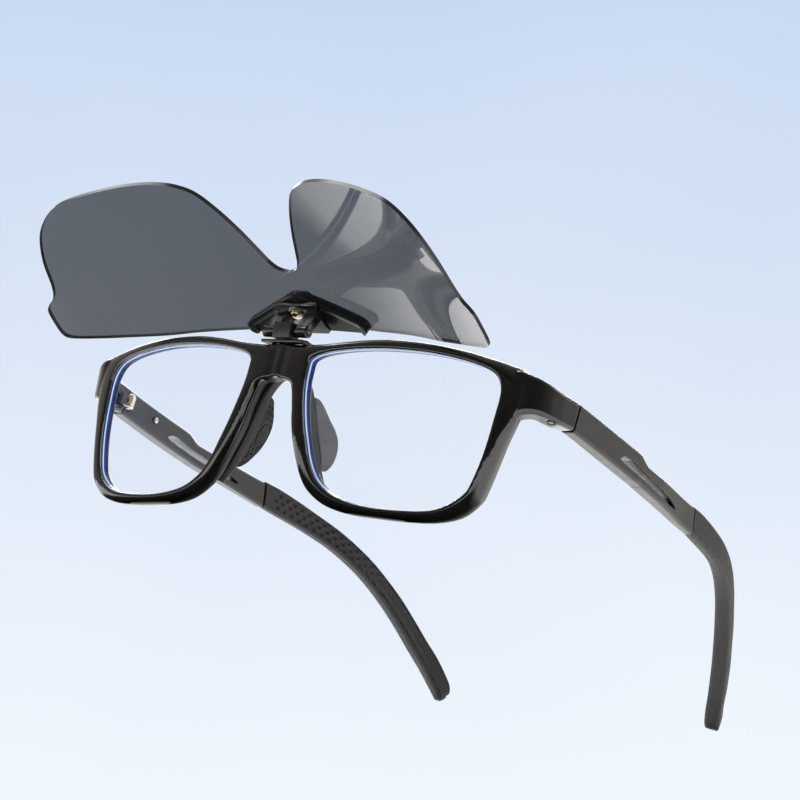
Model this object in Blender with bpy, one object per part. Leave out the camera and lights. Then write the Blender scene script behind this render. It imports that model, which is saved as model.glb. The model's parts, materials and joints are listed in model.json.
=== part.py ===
"""Two-in-one flip-up clip-on sunglasses: a wrap spectacle frame with clear lenses and a
one-piece tinted shield hinged on the bridge.  Modelled standing open on its two rim bottoms
and two temple tips, with the shield flipped up.  Working units are millimetres; every vertex
is multiplied by MM when its mesh is made, so the scene is in metres with +Z up.
+X is to the right when looking at the front, -Y is the way the front faces."""
import math

import bmesh
import bpy
from mathutils import Vector

MM = 0.001

# ---- driving dimensions (mm, degrees) -------------------------------------------------
FRONT_LEAN = 10.0        # the front's plane leans forward by this much when standing
LIFT = 2.21              # raises the leaned front so the rim bottoms meet the floor
Y_SHIFT = -50.0          # puts the middle of the whole part over the origin
FACE_R = 215.0           # side-to-side wrap radius of the front
FACE_RV = 190.0          # top-to-bottom radius of the front
LIP_Y = -4.1             # front lip of the lens opening at the middle of the face
GROOVE = 0.7             # depth of the lens groove
LENS_T = 1.6             # clear lens thickness
LENS_FIT = 0.35          # gap between lens edge and groove bottom
SEAM_Y = 14.8            # where the temple meets the end piece, standing frame
HINGE_X = 67.3           # temple hinge axis from the middle
HINGE_Z = (30.9, 33.9)   # temple hinge barrel, bottom and top
BARREL_R = 1.35
LEAF_T = 0.8
SCREW_R = 0.6
HINGE_FIT = 0.05         # radial running clearance of every pivot
PIN_Y = -2.1             # shield hinge pin, in the face's own frame
PIN_Z = 41.2
RAISE = 33.0             # shield's angle above straight ahead when flipped up
SHIELD_R = 128.0         # side-to-side wrap radius of the shield
SHIELD_T = 1.1
SHIELD_N = 43.5          # distance of the raised shield's middle from the face origin
PLATE_T = 2.2            # chevron plate thickness
SEGS = 2                 # spline steps between two outline stations
BRIDGE_BACK = 1.2        # the bridge is this much deeper than the rims
CHEEK = (2.9, 6.6)       # moving arms of the shield hinge, faces from the middle
PIN_R = 0.7              # shield hinge pin
KNUCKLE_R = 1.5
BASE_HALF = 6.3          # half length of the plate that carries the shield hinge
BASE_DEPTH = (-3.6, 1.2)
BASE_Z = (38.25, 38.95)
DETENT_HALF = 2.6
RIVET_AT = (4.8, -0.3)   # base rivets: from the middle, depth
RIVET_R = 0.65
CLIP_SCREW_R = 0.8
PLATE_SCREW_V = 4.3      # clip screw's height on the plate
CLEAR = 0.05             # a screw or rivet is this much thinner than its hole, all round
GAP = 0.3                # air between two pieces that lie against each other
BRIDGE_REACH = 16.0      # how far from the middle the extra depth fades out
BRIDGE_FRONT, BRIDGE_REAR = -0.6, 3.3    # bridge faces on the middle plane, behind the lip
EDGE_R = 0.7             # rounding of moulded edges
FRONT_LEAF_X, TEMPLE_LEAF_X = 66.8, 67.6
LEAF_NEAR, LEAF_FAR = 1.7, 3.6   # hinge plates start and end this far from the pivot
ARM_ROOT = 0.6           # a barrel's arm runs this far into its plate
SMALL_R = 0.8            # end piece screw and arm screw
END_SCREW_AT = (70.4, 8.6)       # standing frame: from the middle, depth
END_SCREW_Z = (28.8, 30.9)
ARM_SCREW_AT = (69.0, 27.6, 33.0)
SLANT_Y = (69.0, 74.2)   # the arm's end turns from square to slanted between these
SLANT = (1.4, 1.9)       # how far the end's bottom moves back, and its slant over the height
DOME_FROM = 3.6          # a tip section thinner than this belongs to the rounded end
DOME_LIFT, DOME_IN = 1.2, 1.1
RIVET_LONG, RIVET_HEAD = 4.0, 0.35
FOOT_LOW = -2.4          # lower edge of the hinge block's foot on the plate
THIN_END = 0.4           # a curved sheet is at least this high at its two ends
LENS_FRONT = 0.7         # lens front surface behind the lip
LENS_RINGS = (1.0, 0.75, 0.5, 0.25)
SHARP = 38.0             # edges sharper than this stay sharp in smooth shading
MERGE = 1e-6             # metres
SIDES = (("right", 1), ("left", -1))

# Lens opening and rim outline of the +X half, one row per station: opening x, z, rim x, z.
RIM = [
    (9.3, 34.2, 0.0, 38.0), (9.1, 32.0, 0.0, 33.8), (9.2, 29.5, 0.0, 30.0),
    (9.6, 26.4, 4.6, 28.6), (10.4, 22.9, 6.6, 23.4), (11.3, 19.7, 7.6, 19.0),
    (12.3, 16.7, 8.7, 15.4), (13.5, 13.6, 10.0, 12.2), (14.7, 10.5, 11.5, 8.8),
    (16.3, 7.6, 13.3, 5.4), (18.4, 5.0, 16.0, 2.3), (22.5, 2.3, 20.8, -0.5),
    (27.9, 0.7, 27.2, -2.0), (34.4, -0.1, 34.4, -2.4), (42.0, -0.1, 42.5, -2.5),
    (48.5, 0.5, 50.0, -2.0), (53.0, 2.2, 55.8, -0.2), (56.6, 5.1, 59.7, 3.4),
    (57.9, 7.7, 61.2, 7.2), (59.3, 13.0, 62.6, 13.0), (60.1, 18.2, 63.8, 18.3),
    (60.5, 23.4, 65.2, 23.6), (60.8, 28.6, 66.0, 29.5), (60.2, 31.6, 65.0, 34.4),
    (58.4, 33.9, 61.0, 36.3), (54.6, 35.5, 56.0, 37.7), (49.0, 36.7, 50.0, 38.9),
    (42.0, 37.6, 42.2, 39.9), (35.0, 37.95, 35.0, 40.3), (28.0, 37.9, 28.0, 40.3),
    (21.0, 37.4, 20.6, 39.6), (15.4, 36.6, 13.0, 38.6), (11.4, 35.6, 5.4, 38.0),
]
MID_ROWS = (0, 2)        # first and last row whose rim point lies on the middle plane

# Rim cross-section: share of the way from opening to outer edge (-1 is the groove's bottom),
# and depth behind the lip.
PROFILE = [(0.0, 0.0), (0.30, -0.65), (0.72, -0.55), (0.95, -0.1), (1.0, 0.7), (0.97, 2.4),
           (0.80, 3.2), (0.30, 3.3), (0.0, 2.9), (0.0, 2.5), (-1.0, 2.5), (-1.0, 0.5),
           (0.0, 0.5)]
FRONT_EDGE, SIDE, BACK_EDGE = 3, 4, 5    # profile points that meet the middle plane
RIM_BACK = 2.3           # profile points deeper than this gain the bridge's extra depth

# End piece, face frame: outer x, y, thickness, bottom z of the outer face, top z, and how
# much lower the inner bottom edge is.
ENDPIECE = [
    (61.6, 6.3, 2.4, 23.8, 35.2, 0.6), (64.4, 6.1, 3.0, 24.2, 35.3, 0.9),
    (66.6, 6.7, 3.7, 25.3, 34.7, 1.2), (69.0, 8.4, 4.2, 25.8, 34.0, 1.2),
    (71.0, 10.8, 4.3, 25.5, 33.0, 1.1), (72.2, 14.4, 4.1, 24.7, 31.9, 0.8),
]
END_SECTION = (72.7, 4.0, 29.6, 36.4, 0.3)   # the same at the seam, standing frame, without y

# Temple arm, standing frame: y, outer x, thickness, bottom z, top z.
ARM = [
    (SEAM_Y + 0.3, 72.8, 4.0, 29.3, 36.3), (20.0, 73.1, 4.0, 29.2, 36.1),
    (31.0, 73.5, 4.2, 28.9, 35.8), (41.5, 73.6, 4.2, 28.7, 35.6), (43.0, 73.6, 4.2, 28.7, 35.3),
    (45.4, 73.5, 4.1, 28.7, 34.5), (47.4, 73.4, 4.1, 28.6, 34.2), (55.0, 72.8, 4.0, 28.6, 34.4),
    (62.0, 71.8, 3.5, 28.6, 34.6), (69.0, 70.8, 3.0, 28.5, 34.8), (74.2, 70.3, 2.8, 28.5, 35.0),
]
# Rubber tip path, standing frame: y, outer x, bottom z, thickness, height square to the path.
TIP = [
    (74.6, 70.25, 28.5, 2.9, 6.6), (80.0, 69.6, 28.4, 3.0, 6.9), (87.0, 68.6, 28.4, 3.1, 6.6),
    (94.0, 67.4, 28.3, 3.4, 6.1), (101.0, 65.5, 27.6, 3.7, 5.8), (107.3, 63.4, 26.1, 3.9, 5.6),
    (113.2, 61.1, 23.9, 4.0, 5.5), (118.5, 58.9, 21.1, 4.1, 5.4), (123.8, 56.7, 17.7, 4.2, 5.4),
    (128.6, 54.6, 14.0, 4.2, 5.4), (133.4, 52.5, 10.0, 4.3, 5.4), (137.9, 50.3, 6.2, 4.3, 5.5),
    (141.6, 48.3, 2.5, 4.2, 5.3), (143.6, 47.3, 0.5, 4.0, 4.8), (144.7, 46.7, -0.6, 3.2, 3.9),
    (145.2, 46.3, -1.1, 1.7, 2.4),
]
# Window through the arm: y, z.
SLOT = [(34.0, 31.0), (40.0, 30.6), (61.0, 30.2), (64.0, 30.4), (64.0, 30.9), (60.0, 31.6),
        (46.0, 32.1), (39.0, 32.6), (36.0, 32.3)]

# Nose saddle behind the nose opening, face frame: x, y, z, width, depth.
SADDLE_PATH = [
    (0.0, 2.6, 32.2, 2.2, 1.9), (3.4, 2.5, 30.8, 2.2, 1.9), (6.2, 2.2, 27.2, 2.5, 2.0),
    (7.9, 1.9, 22.6, 2.8, 2.1), (9.4, 1.75, 18.0, 3.0, 2.1), (11.2, 1.6, 13.2, 3.0, 2.1),
    (13.3, 1.4, 8.6, 2.8, 2.0), (15.6, 1.2, 4.9, 2.2, 1.8),
]
# Rubber pad, level by level: z, inner edge x, y, free edge x, y, thickness.
PAD = [
    (8.7, 13.7, 2.75, 13.6, 4.2, 0.8), (9.1, 13.5, 2.7, 13.4, 5.2, 1.2),
    (10.4, 13.0, 2.7, 13.1, 6.8, 1.4), (12.0, 12.4, 2.75, 12.8, 8.1, 1.5),
    (14.0, 11.5, 2.8, 12.2, 9.3, 1.6), (16.0, 10.7, 2.85, 11.6, 10.0, 1.6),
    (18.0, 9.9, 2.95, 10.9, 10.2, 1.6), (20.0, 9.1, 3.0, 10.0, 9.8, 1.6),
    (22.0, 8.4, 3.1, 9.0, 8.7, 1.5), (24.0, 7.8, 3.2, 8.3, 7.4, 1.4),
    (25.6, 7.3, 3.35, 7.7, 6.3, 1.3), (26.2, 7.2, 3.4, 7.5, 5.5, 1.1),
    (26.5, 7.1, 3.5, 7.4, 4.8, 0.7),
]

# Shield outline of the +X half: x, height above the shield's own base line.
SHIELD = [
    (0.0, -3.9), (17.0, -3.8), (24.0, -3.4), (34.0, -2.3), (43.0, -1.2), (53.0, 1.3),
    (60.0, 3.6), (64.6, 5.6), (66.1, 7.4), (66.4, 11.0), (66.2, 15.2), (65.2, 16.9),
    (63.4, 18.6), (62.2, 22.0), (61.0, 29.0), (59.0, 35.0), (56.6, 39.0), (52.6, 42.5),
    (47.5, 43.9), (38.0, 44.3), (30.0, 44.0), (23.5, 43.0), (18.9, 41.4), (14.9, 38.6),
    (11.3, 33.0), (8.2, 26.4), (5.8, 20.0), (4.5, 16.6), (2.8, 14.4), (0.0, 13.4),
]
# Chevron plate outline of the +X half: x, height.
CHEVRON = [(0.0, -3.6), (11.0, -3.6), (17.0, -3.4), (18.2, -2.4), (18.6, -1.4), (18.3, 0.0),
           (17.2, 0.9), (2.0, 7.9), (0.0, 8.3)]

LEAN = math.radians(FRONT_LEAN)
TILT = math.radians(RAISE)
H_DIR = Vector((0.0, -math.cos(TILT), math.sin(TILT)))     # up the raised shield
N_DIR = Vector((0.0, math.sin(TILT), math.cos(TILT)))      # out of its convex side
BASE_Y = 6.0             # depth at which the shield's base line crosses the middle plane
CLIP_O = Vector((0.0, BASE_Y, (SHIELD_N - math.sin(TILT) * BASE_Y) / math.cos(TILT)))
PLATE_N = (-SHIELD_T / 2 - GAP - PLATE_T, -SHIELD_T / 2 - GAP)    # plate faces, from the shield
FOOT_N = (PLATE_N[0] - 1.5, PLATE_N[0] - GAP)                     # hinge block's foot faces


def stand(p):
    """Face frame (front upright) to the standing frame."""
    x, y, z = p
    c, s = math.cos(LEAN), math.sin(LEAN)
    return Vector((x, y * c - z * s, y * s + z * c + LIFT))


def clip_point(x, v, n):
    """Shield coordinates (across, up the shield, out of its convex side) to standing."""
    return stand(CLIP_O + Vector((x, 0, 0)) + H_DIR * v + N_DIR * n)


def face_y(x, z, off):
    """Depth of the curved front at x, z; off is measured from its own lip surface."""
    return LIP_Y + x * x / (2 * FACE_R) + (z - 12) ** 2 / (2 * FACE_RV) + off


# ---- scene start ----------------------------------------------------------------------
for old in list(bpy.data.objects):
    bpy.data.objects.remove(old, do_unlink=True)

# ---- materials ------------------------------------------------------------------------


def material(name, rgb, rough, metal=0.0, alpha=1.0, transmission=0.0):
    mat = bpy.data.materials.new(name)
    mat.use_nodes = True
    bsdf = mat.node_tree.nodes["Principled BSDF"]
    bsdf.inputs["Base Color"].default_value = (*rgb, 1.0)
    bsdf.inputs["Roughness"].default_value = rough
    bsdf.inputs["Metallic"].default_value = metal
    bsdf.inputs["Alpha"].default_value = alpha
    bsdf.inputs["Transmission Weight"].default_value = transmission
    return mat


GLOSS = material("gloss_black", (0.012, 0.012, 0.013), 0.08)
SATIN = material("satin_grey", (0.05, 0.05, 0.055), 0.4)
RUBBER = material("tip_rubber", (0.03, 0.03, 0.032), 0.75)
PAD_RUBBER = material("pad_rubber", (0.09, 0.09, 0.095), 0.6)
SADDLE = material("saddle_black", (0.03, 0.03, 0.03), 0.3)
LENS = material("clear_lens", (0.95, 0.97, 1.0), 0.02, alpha=0.15, transmission=0.9)
TINT = material("tinted_shield", (0.09, 0.09, 0.1), 0.03, alpha=0.75, transmission=0.3)
PLASTIC = material("black_plastic", (0.02, 0.02, 0.022), 0.35)
STEEL = material("steel", (0.45, 0.45, 0.46), 0.3, metal=1.0)
GOLD = material("hinge_gold", (0.75, 0.62, 0.4), 0.3, metal=1.0)
BRASS = material("brass", (0.7, 0.5, 0.2), 0.25, metal=1.0)


# ---- mesh helpers ---------------------------------------------------------------------
def make(name, verts, faces, mat=None, smooth=False, origin=None):
    """Mesh object from standing-frame millimetres, with its origin at the given point."""
    shift = Vector((0, Y_SHIFT, 0))
    org = (Vector(origin) + shift) * MM if origin is not None else Vector((0, 0, 0))
    mesh = bpy.data.meshes.new(name)
    mesh.from_pydata([(Vector(v) + shift) * MM - org for v in verts], [], faces)
    work = bmesh.new()
    work.from_mesh(mesh)
    bmesh.ops.remove_doubles(work, verts=work.verts, dist=MERGE)
    bmesh.ops.delete(work, geom=[v for v in work.verts if not v.link_faces], context='VERTS')
    bmesh.ops.recalc_face_normals(work, faces=work.faces)
    work.to_mesh(mesh)
    work.free()
    obj = bpy.data.objects.new(name, mesh)
    obj.location = org
    bpy.context.scene.collection.objects.link(obj)
    if mat is not None:
        mesh.materials.append(mat)
    if smooth:
        mesh.polygons.foreach_set("use_smooth", [True] * len(mesh.polygons))
        mesh.set_sharp_from_angle(angle=math.radians(SHARP))
    return obj


def flip(points, sign):
    """The points on the side named by sign: +1 leaves them, -1 mirrors them."""
    return [Vector((p[0] * sign, p[1], p[2])) for p in points]


def loft(rings):
    """Quads between equal rings, capped at both ends."""
    n = len(rings[0])
    verts = [v for ring in rings for v in ring]
    faces = [tuple(range(n)), tuple(range((len(rings) - 1) * n, len(rings) * n))]
    for i in range(len(rings) - 1):
        a, b = i * n, (i + 1) * n
        for k in range(n):
            m = (k + 1) % n
            faces.append((a + k, a + m, b + m, b + k))
    return verts, faces


def turned(p0, axis, profile, segs):
    """Solid of revolution: profile is (distance along axis, radius)."""
    p0, d = Vector(p0), Vector(axis).normalized()
    u = d.orthogonal().normalized()
    w = d.cross(u)
    turns = [2 * math.pi * k / segs for k in range(segs)]
    return loft([[p0 + d * along + (u * math.cos(a) + w * math.sin(a)) * r for a in turns]
                 for along, r in profile])


def tube(p0, p1, r, segs=28):
    """Cylinder between two points."""
    p0, p1 = Vector(p0), Vector(p1)
    return turned(p0, p1 - p0, [(0, r), ((p1 - p0).length, r)], segs)


def block(fn, a, b, c):
    """Box in any frame: fn maps (a, b, c) to the standing frame, each span is (low, high)."""
    return loft([[fn(at, b[0], c[0]), fn(at, b[1], c[0]), fn(at, b[1], c[1]), fn(at, b[0], c[1])]
                 for at in a])


def straight(x, y, z):
    return Vector((x, y, z))


def leaned(x, y, z):
    return stand((x, y, z))


def cutter(name, verts, faces):
    obj = make(name, verts, faces)
    obj.hide_render = True
    obj.display_type = 'WIRE'
    return obj


def boolean(target, tool, op):
    mod = target.modifiers.new(tool.name, 'BOOLEAN')
    mod.object = tool
    mod.operation = op
    mod.solver = 'EXACT'


def catmull(p0, p1, p2, p3, t):
    return 0.5 * ((2 * p1) + (-p0 + p2) * t + (2 * p0 - 5 * p1 + 4 * p2 - p3) * t * t
                  + (-p0 + 3 * p1 - 3 * p2 + p3) * t ** 3)


def spline(points, steps, closed):
    """Catmull-Rom through tuples of any width."""
    n = len(points)
    out = []
    for i in range(n if closed else n - 1):
        quad = [points[j % n] if closed else points[min(max(j, 0), n - 1)]
                for j in (i - 1, i, i + 1, i + 2)]
        for s in range(steps):
            t = s / steps
            out.append(tuple(catmull(*[q[k] for q in quad], t) for k in range(len(points[0]))))
    if not closed:
        out.append(tuple(points[-1]))
    return out


def neighbours(table, i):
    return table[max(i - 1, 0)], table[min(i + 1, len(table) - 1)]


def rounded(w, h, r, segs=2):
    """Rounded rectangle from (0, 0) to (w, h), counter-clockwise."""
    pts = []
    for cx, cy, a0 in ((w - r, r, -90), (w - r, h - r, 0), (r, h - r, 90), (r, r, 180)):
        for k in range(segs + 1):
            a = math.radians(a0 + 90 * k / segs)
            pts.append((cx + r * math.cos(a), cy + r * math.sin(a)))
    return pts


# ---- front: two rims joined on the middle plane, then the two end pieces ---------------
def front_half(sign):
    """One rim: the profile is carried round the lens opening; the middle plane stays open."""
    verts, faces = [], []
    n, m = len(PROFILE), len(rows)
    first, last = MID_ROWS[0] * SEGS, MID_ROWS[1] * SEGS
    for i, (ox, oz, qx, qz) in enumerate(rows):
        on_mid = first <= i <= last
        qx = 0.0 if on_mid else max(qx, GAP)
        reach = math.hypot(qx - ox, qz - oz)
        near = min(1.0, 2 * max(0.0, 1.0 - abs(ox + qx) / (2 * BRIDGE_REACH)))
        for k, (share, off) in enumerate(PROFILE):
            if share < 0:
                share = GROOVE / reach
            if on_mid and FRONT_EDGE <= k <= BACK_EDGE:
                share = 1.0
                off = (BRIDGE_FRONT, off, BRIDGE_REAR)[k - FRONT_EDGE]
            if k >= BACK_EDGE and off > RIM_BACK:
                off += BRIDGE_BACK * near * min(1.0, max(share, 0.0) * 2)
            x, z = ox + (qx - ox) * share, oz + (qz - oz) * share
            verts.append(stand((x * sign, face_y(x, z, off), z)))
    for i in range(m):
        j = (i + 1) % m
        for k in range(n):
            if not (first <= i < last and k in (FRONT_EDGE, SIDE)):
                k2 = (k + 1) % n
                faces.append((i * n + k, i * n + k2, j * n + k2, j * n + k))
    return verts, faces


def endpiece(sign):
    """Solid that wraps from the rim back to the temple seam."""
    rings = []
    table = spline(ENDPIECE, SEGS, False)
    for i, (x, y, t, z0, z1, drop) in enumerate(table):
        a, b = neighbours(table, i)
        run = Vector((b[0] - a[0], b[1] - a[1], 0)).normalized()
        inward = Vector((-run.y, run.x, 0))
        rings.append([stand(Vector((x, y, z0 - drop)) + inward * u + Vector((0, 0, w)))
                      for u, w in sloped(t, z1 - z0 + drop, drop)])
    x, t, z0, z1, drop = END_SECTION
    rings.append([Vector((x - u, SEAM_Y, z0 - drop + w))
                  for u, w in sloped(t, z1 - z0 + drop, drop)])
    verts, faces = loft(rings)
    return flip(verts, sign), faces


def sloped(t, h, drop):
    """Rounded section whose bottom climbs by drop from its inner to its outer edge."""
    return [(u, w + drop * (1 - u / t) * (1 - w / h)) for u, w in rounded(t, h, EDGE_R)]


def front_frame():
    right, faces = front_half(1.0)
    left, _ = front_half(-1.0)
    mirrored = [tuple(i + len(right) for i in f) for f in faces]
    front = make("front_frame", right + left, faces + mirrored, GLOSS, smooth=True)
    for side, sign in SIDES:
        boolean(front, cutter("endpiece_" + side, *endpiece(sign)), 'UNION')
    return front


rows = spline(RIM, SEGS, True)
front = front_frame()


# ---- clear lenses ----------------------------------------------------------------------
def lens(side, sign):
    """Sheet with both faces on the front's curve: shrinking rings of the opening's outline."""
    outline = []
    for ox, oz, qx, qz in rows[::SEGS]:
        share = (GROOVE - LENS_FIT) / math.hypot(qx - ox, qz - oz)
        outline.append((ox + (qx - ox) * share, oz + (qz - oz) * share))
    n = len(outline)
    cx, cz = (sum(p[k] for p in outline) / n for k in (0, 1))
    verts, faces = [], []
    for off in (LENS_FRONT, LENS_FRONT + LENS_T):
        base = len(verts)
        for f in LENS_RINGS:
            for x, z in outline:
                px, pz = cx + (x - cx) * f, cz + (z - cz) * f
                verts.append(stand((px * sign, face_y(px, pz, off), pz)))
        verts.append(stand((cx * sign, face_y(cx, cz, off), cz)))
        hub = len(verts) - 1
        for r in range(base, hub, n):
            for k in range(n):
                m = (k + 1) % n
                if r + n < hub:
                    faces.append((r + k, r + m, r + n + m, r + n + k))
                else:
                    faces.append((r + k, r + m, hub))
    half = len(verts) // 2
    for k in range(n):
        m = (k + 1) % n
        faces.append((k, m, half + m, half + k))
    make("lens_" + side, verts, faces, LENS, smooth=True)


for side, sign in SIDES:
    lens(side, sign)


# ---- nose saddle and rubber pads --------------------------------------------------------
def nose_saddle():
    path = spline(SADDLE_PATH, 3, False)
    rings = []
    for sign in (-1, 1):
        order = path[::-1] if sign < 0 else path[1:]
        for i, (x, y, z, w, d) in enumerate(order):
            a, b = neighbours(order, i)
            run = Vector(((b[0] - a[0]) * sign, b[1] - a[1], b[2] - a[2]))
            if x == 0.0:
                run = Vector((1, 0, 0))
            across = run.cross(Vector((0, 1, 0))).normalized()
            depth = across.cross(run).normalized()
            spot = Vector((x * sign, y, z))
            rings.append([stand(spot + across * (u - w / 2) + depth * (v - d / 2))
                          for u, v in rounded(w, d, EDGE_R)])
    make("nose_saddle", *loft(rings), SADDLE, smooth=True)


def nose_pad(side, sign):
    """Leaf on the back of a saddle leg: a rounded section at each level."""
    rings = []
    for z, x0, y0, x1, y1, t in spline(PAD, SEGS, False):
        reach = Vector((x1 - x0, y1 - y0, 0))
        out = reach.normalized()
        across = Vector((out.y, -out.x, 0))
        rings.append([stand(Vector((x0, y0, z)) + out * u + across * (w - t / 2))
                      for u, w in rounded(reach.length, t, 0.4 * t)])
    verts, faces = loft(rings)
    make("nose_pad_" + side, flip(verts, sign), faces, PAD_RUBBER, smooth=True)


nose_saddle()
for side, sign in SIDES:
    nose_pad(side, sign)


# ---- temple hinges ----------------------------------------------------------------------
def hinge_leaf(name, pivot, x_span, plate_y, spans):
    """Plate with one barrel per z span, bored for the pivot screw."""
    sign = math.copysign(1.0, pivot[0])

    def sided(x, y, z):
        return Vector((x * sign, y, z))

    z0, z1 = HINGE_Z
    leaf = make(name, *block(sided, x_span, plate_y, (z0 + 0.1, z1 - 0.1)), GOLD, origin=pivot)
    inner = min(plate_y, key=lambda y: abs(y - SEAM_Y))
    root = inner + math.copysign(ARM_ROOT, inner - SEAM_Y)
    for i, span in enumerate(spans):
        arm = block(sided, x_span, sorted((SEAM_Y, root)), span)
        boolean(leaf, cutter("%s_arm%d" % (name, i), *arm), 'UNION')
        barrel = tube((pivot[0], SEAM_Y, span[0]), (pivot[0], SEAM_Y, span[1]), BARREL_R)
        boolean(leaf, cutter("%s_barrel%d" % (name, i), *barrel), 'UNION')
    bore = tube((pivot[0], SEAM_Y, z0 - 1), (pivot[0], SEAM_Y, z1 + 1), SCREW_R + HINGE_FIT)
    boolean(leaf, cutter(name + "_bore", *bore), 'DIFFERENCE')


def temple_hinge(side, sign):
    """Front leaf with the outer barrels, temple leaf with the middle one, and their screw."""
    z0, z1 = HINGE_Z
    pivot = (HINGE_X * sign, SEAM_Y, 0.5 * (z0 + z1))
    third = (z1 - z0) / 3
    hinge_leaf("front_hinge_leaf_" + side, pivot, (FRONT_LEAF_X, FRONT_LEAF_X + LEAF_T),
               (SEAM_Y - LEAF_FAR, SEAM_Y - LEAF_NEAR),
               [(z0, z0 + third - 0.1), (z1 - third + 0.1, z1)])
    hinge_leaf("temple_hinge_leaf_" + side, pivot, (TEMPLE_LEAF_X, TEMPLE_LEAF_X + LEAF_T),
               (SEAM_Y + LEAF_NEAR, SEAM_Y + LEAF_FAR),
               [(z0 + third + 0.1, z1 - third - 0.1)])
    shank = z1 - z0 + 0.4
    screw = turned((pivot[0], SEAM_Y, z0 - 0.35), (0, 0, 1),
                   [(0, SCREW_R * 0.8), (0.15, SCREW_R), (shank, SCREW_R), (shank, 1.15),
                    (shank + 0.35, 1.15), (shank + 0.55, 0.8)], 28)
    make("hinge_screw_" + side, *screw, STEEL, smooth=True, origin=pivot)
    return pivot


def endpiece_screw(side, sign):
    """Screw up through the end piece's underside, sunk in its hole."""
    spot = Vector((END_SCREW_AT[0] * sign, END_SCREW_AT[1], 0))
    top = END_SCREW_Z[1] + 0.3
    hole = tube(spot + Vector((0, 0, 20)), spot + Vector((0, 0, top)), SMALL_R + 0.15, 20)
    boolean(front, cutter("endpiece_hole_" + side, *hole), 'DIFFERENCE')
    long = END_SCREW_Z[1] - END_SCREW_Z[0]
    make("endpiece_screw_" + side,
         *turned(spot + Vector((0, 0, END_SCREW_Z[0])), (0, 0, 1),
                 [(0, SMALL_R - 0.15), (0.25, SMALL_R), (long, SMALL_R)], 20),
         STEEL, smooth=True)


pivots = {}
for side, sign in SIDES:
    pivots[side] = temple_hinge(side, sign)
    endpiece_screw(side, sign)


# ---- temples ------------------------------------------------------------------------------
def temple_arm(side, sign):
    """Arm with a slanted rear end, a long window and a small screw on its inner face."""
    rings = []
    for y, x, t, z0, z1 in spline(ARM, SEGS, False):
        slant = max(0.0, (y - SLANT_Y[0]) / (SLANT_Y[1] - SLANT_Y[0]))
        rings.append([Vector((x - u, y + slant * (SLANT[0] - SLANT[1] * w / (z1 - z0)), z0 + w))
                      for u, w in rounded(t, z1 - z0, EDGE_R)])
    verts, faces = loft(rings)
    arm = make("temple_arm_" + side, flip(verts, sign), faces, SATIN, smooth=True,
               origin=pivots[side])
    window = loft([[Vector((x * sign, y, z)) for y, z in SLOT] for x in (60.0, 80.0)])
    boolean(arm, cutter("arm_slot_" + side, *window), 'DIFFERENCE')
    spot = Vector((ARM_SCREW_AT[0] * sign, *ARM_SCREW_AT[1:]))
    out = Vector((sign, 0, 0))
    hole = tube(spot - out * 3, spot + out * 1.6, SMALL_R + 0.15, 20)
    boolean(arm, cutter("arm_hole_" + side, *hole), 'DIFFERENCE')
    screw = turned(spot - out * 0.5, out, [(0, SMALL_R - 0.2), (0.2, SMALL_R), (1.8, SMALL_R)], 20)
    make("arm_screw_" + side, *screw, STEEL, smooth=True, origin=pivots[side])


def temple_tip(side, sign):
    """Rubber tip: a rounded section square to its path, slanted at the front, domed behind."""
    rings = []
    table = spline(TIP, SEGS, False)
    for i, (y, x, z, t, h) in enumerate(table):
        a, b = neighbours(table, i)
        run = Vector((b[1] - a[1], b[0] - a[0], b[2] - a[2])).normalized()
        up = (Vector((0, 0, 1)) - run * run.z).normalized()
        inward = run.cross(up)
        if inward.x > 0:
            inward = -inward
        slant = max(0.0, 1 - i / (1.5 * SEGS))
        full = min(1.0, min(t, h) / DOME_FROM)
        spot = Vector((x, y, z)) + up * (1 - full) * DOME_LIFT + inward * (1 - full) * DOME_IN
        ring = []
        for u, w in rounded(t, h, min(1.1, t * 0.3)):
            p = spot + inward * u + up * w
            p.y += slant * (1.6 - SLANT[1] * w / h)
            ring.append(p)
        rings.append(ring)
    verts, faces = loft(rings)
    make("temple_tip_" + side, flip(verts, sign), faces, RUBBER, smooth=True,
         origin=pivots[side])


for side, sign in SIDES:
    temple_arm(side, sign)
    temple_tip(side, sign)

# Small resting flats under the rims, and under the tips where they reach the floor.
for name in ("front_frame", "temple_tip_right", "temple_tip_left"):
    ground = cutter("rest_flat_" + name, *block(straight, (-90, 90), (-60, 190), (-9, 0.0)))
    boolean(bpy.data.objects[name], ground, 'DIFFERENCE')

# ---- shield hinge: base on the bridge, detent block, pin and moving block ------------------
PIN_AT = stand((0, PIN_Y, PIN_Z))


def pin_tube(x0, x1, r):
    return tube(stand((x0, PIN_Y, PIN_Z)), stand((x1, PIN_Y, PIN_Z)), r)


def bore_for_pin(obj):
    boolean(obj, cutter(obj.name + "_bore", *pin_tube(-9, 9, PIN_R + HINGE_FIT)), 'DIFFERENCE')


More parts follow.
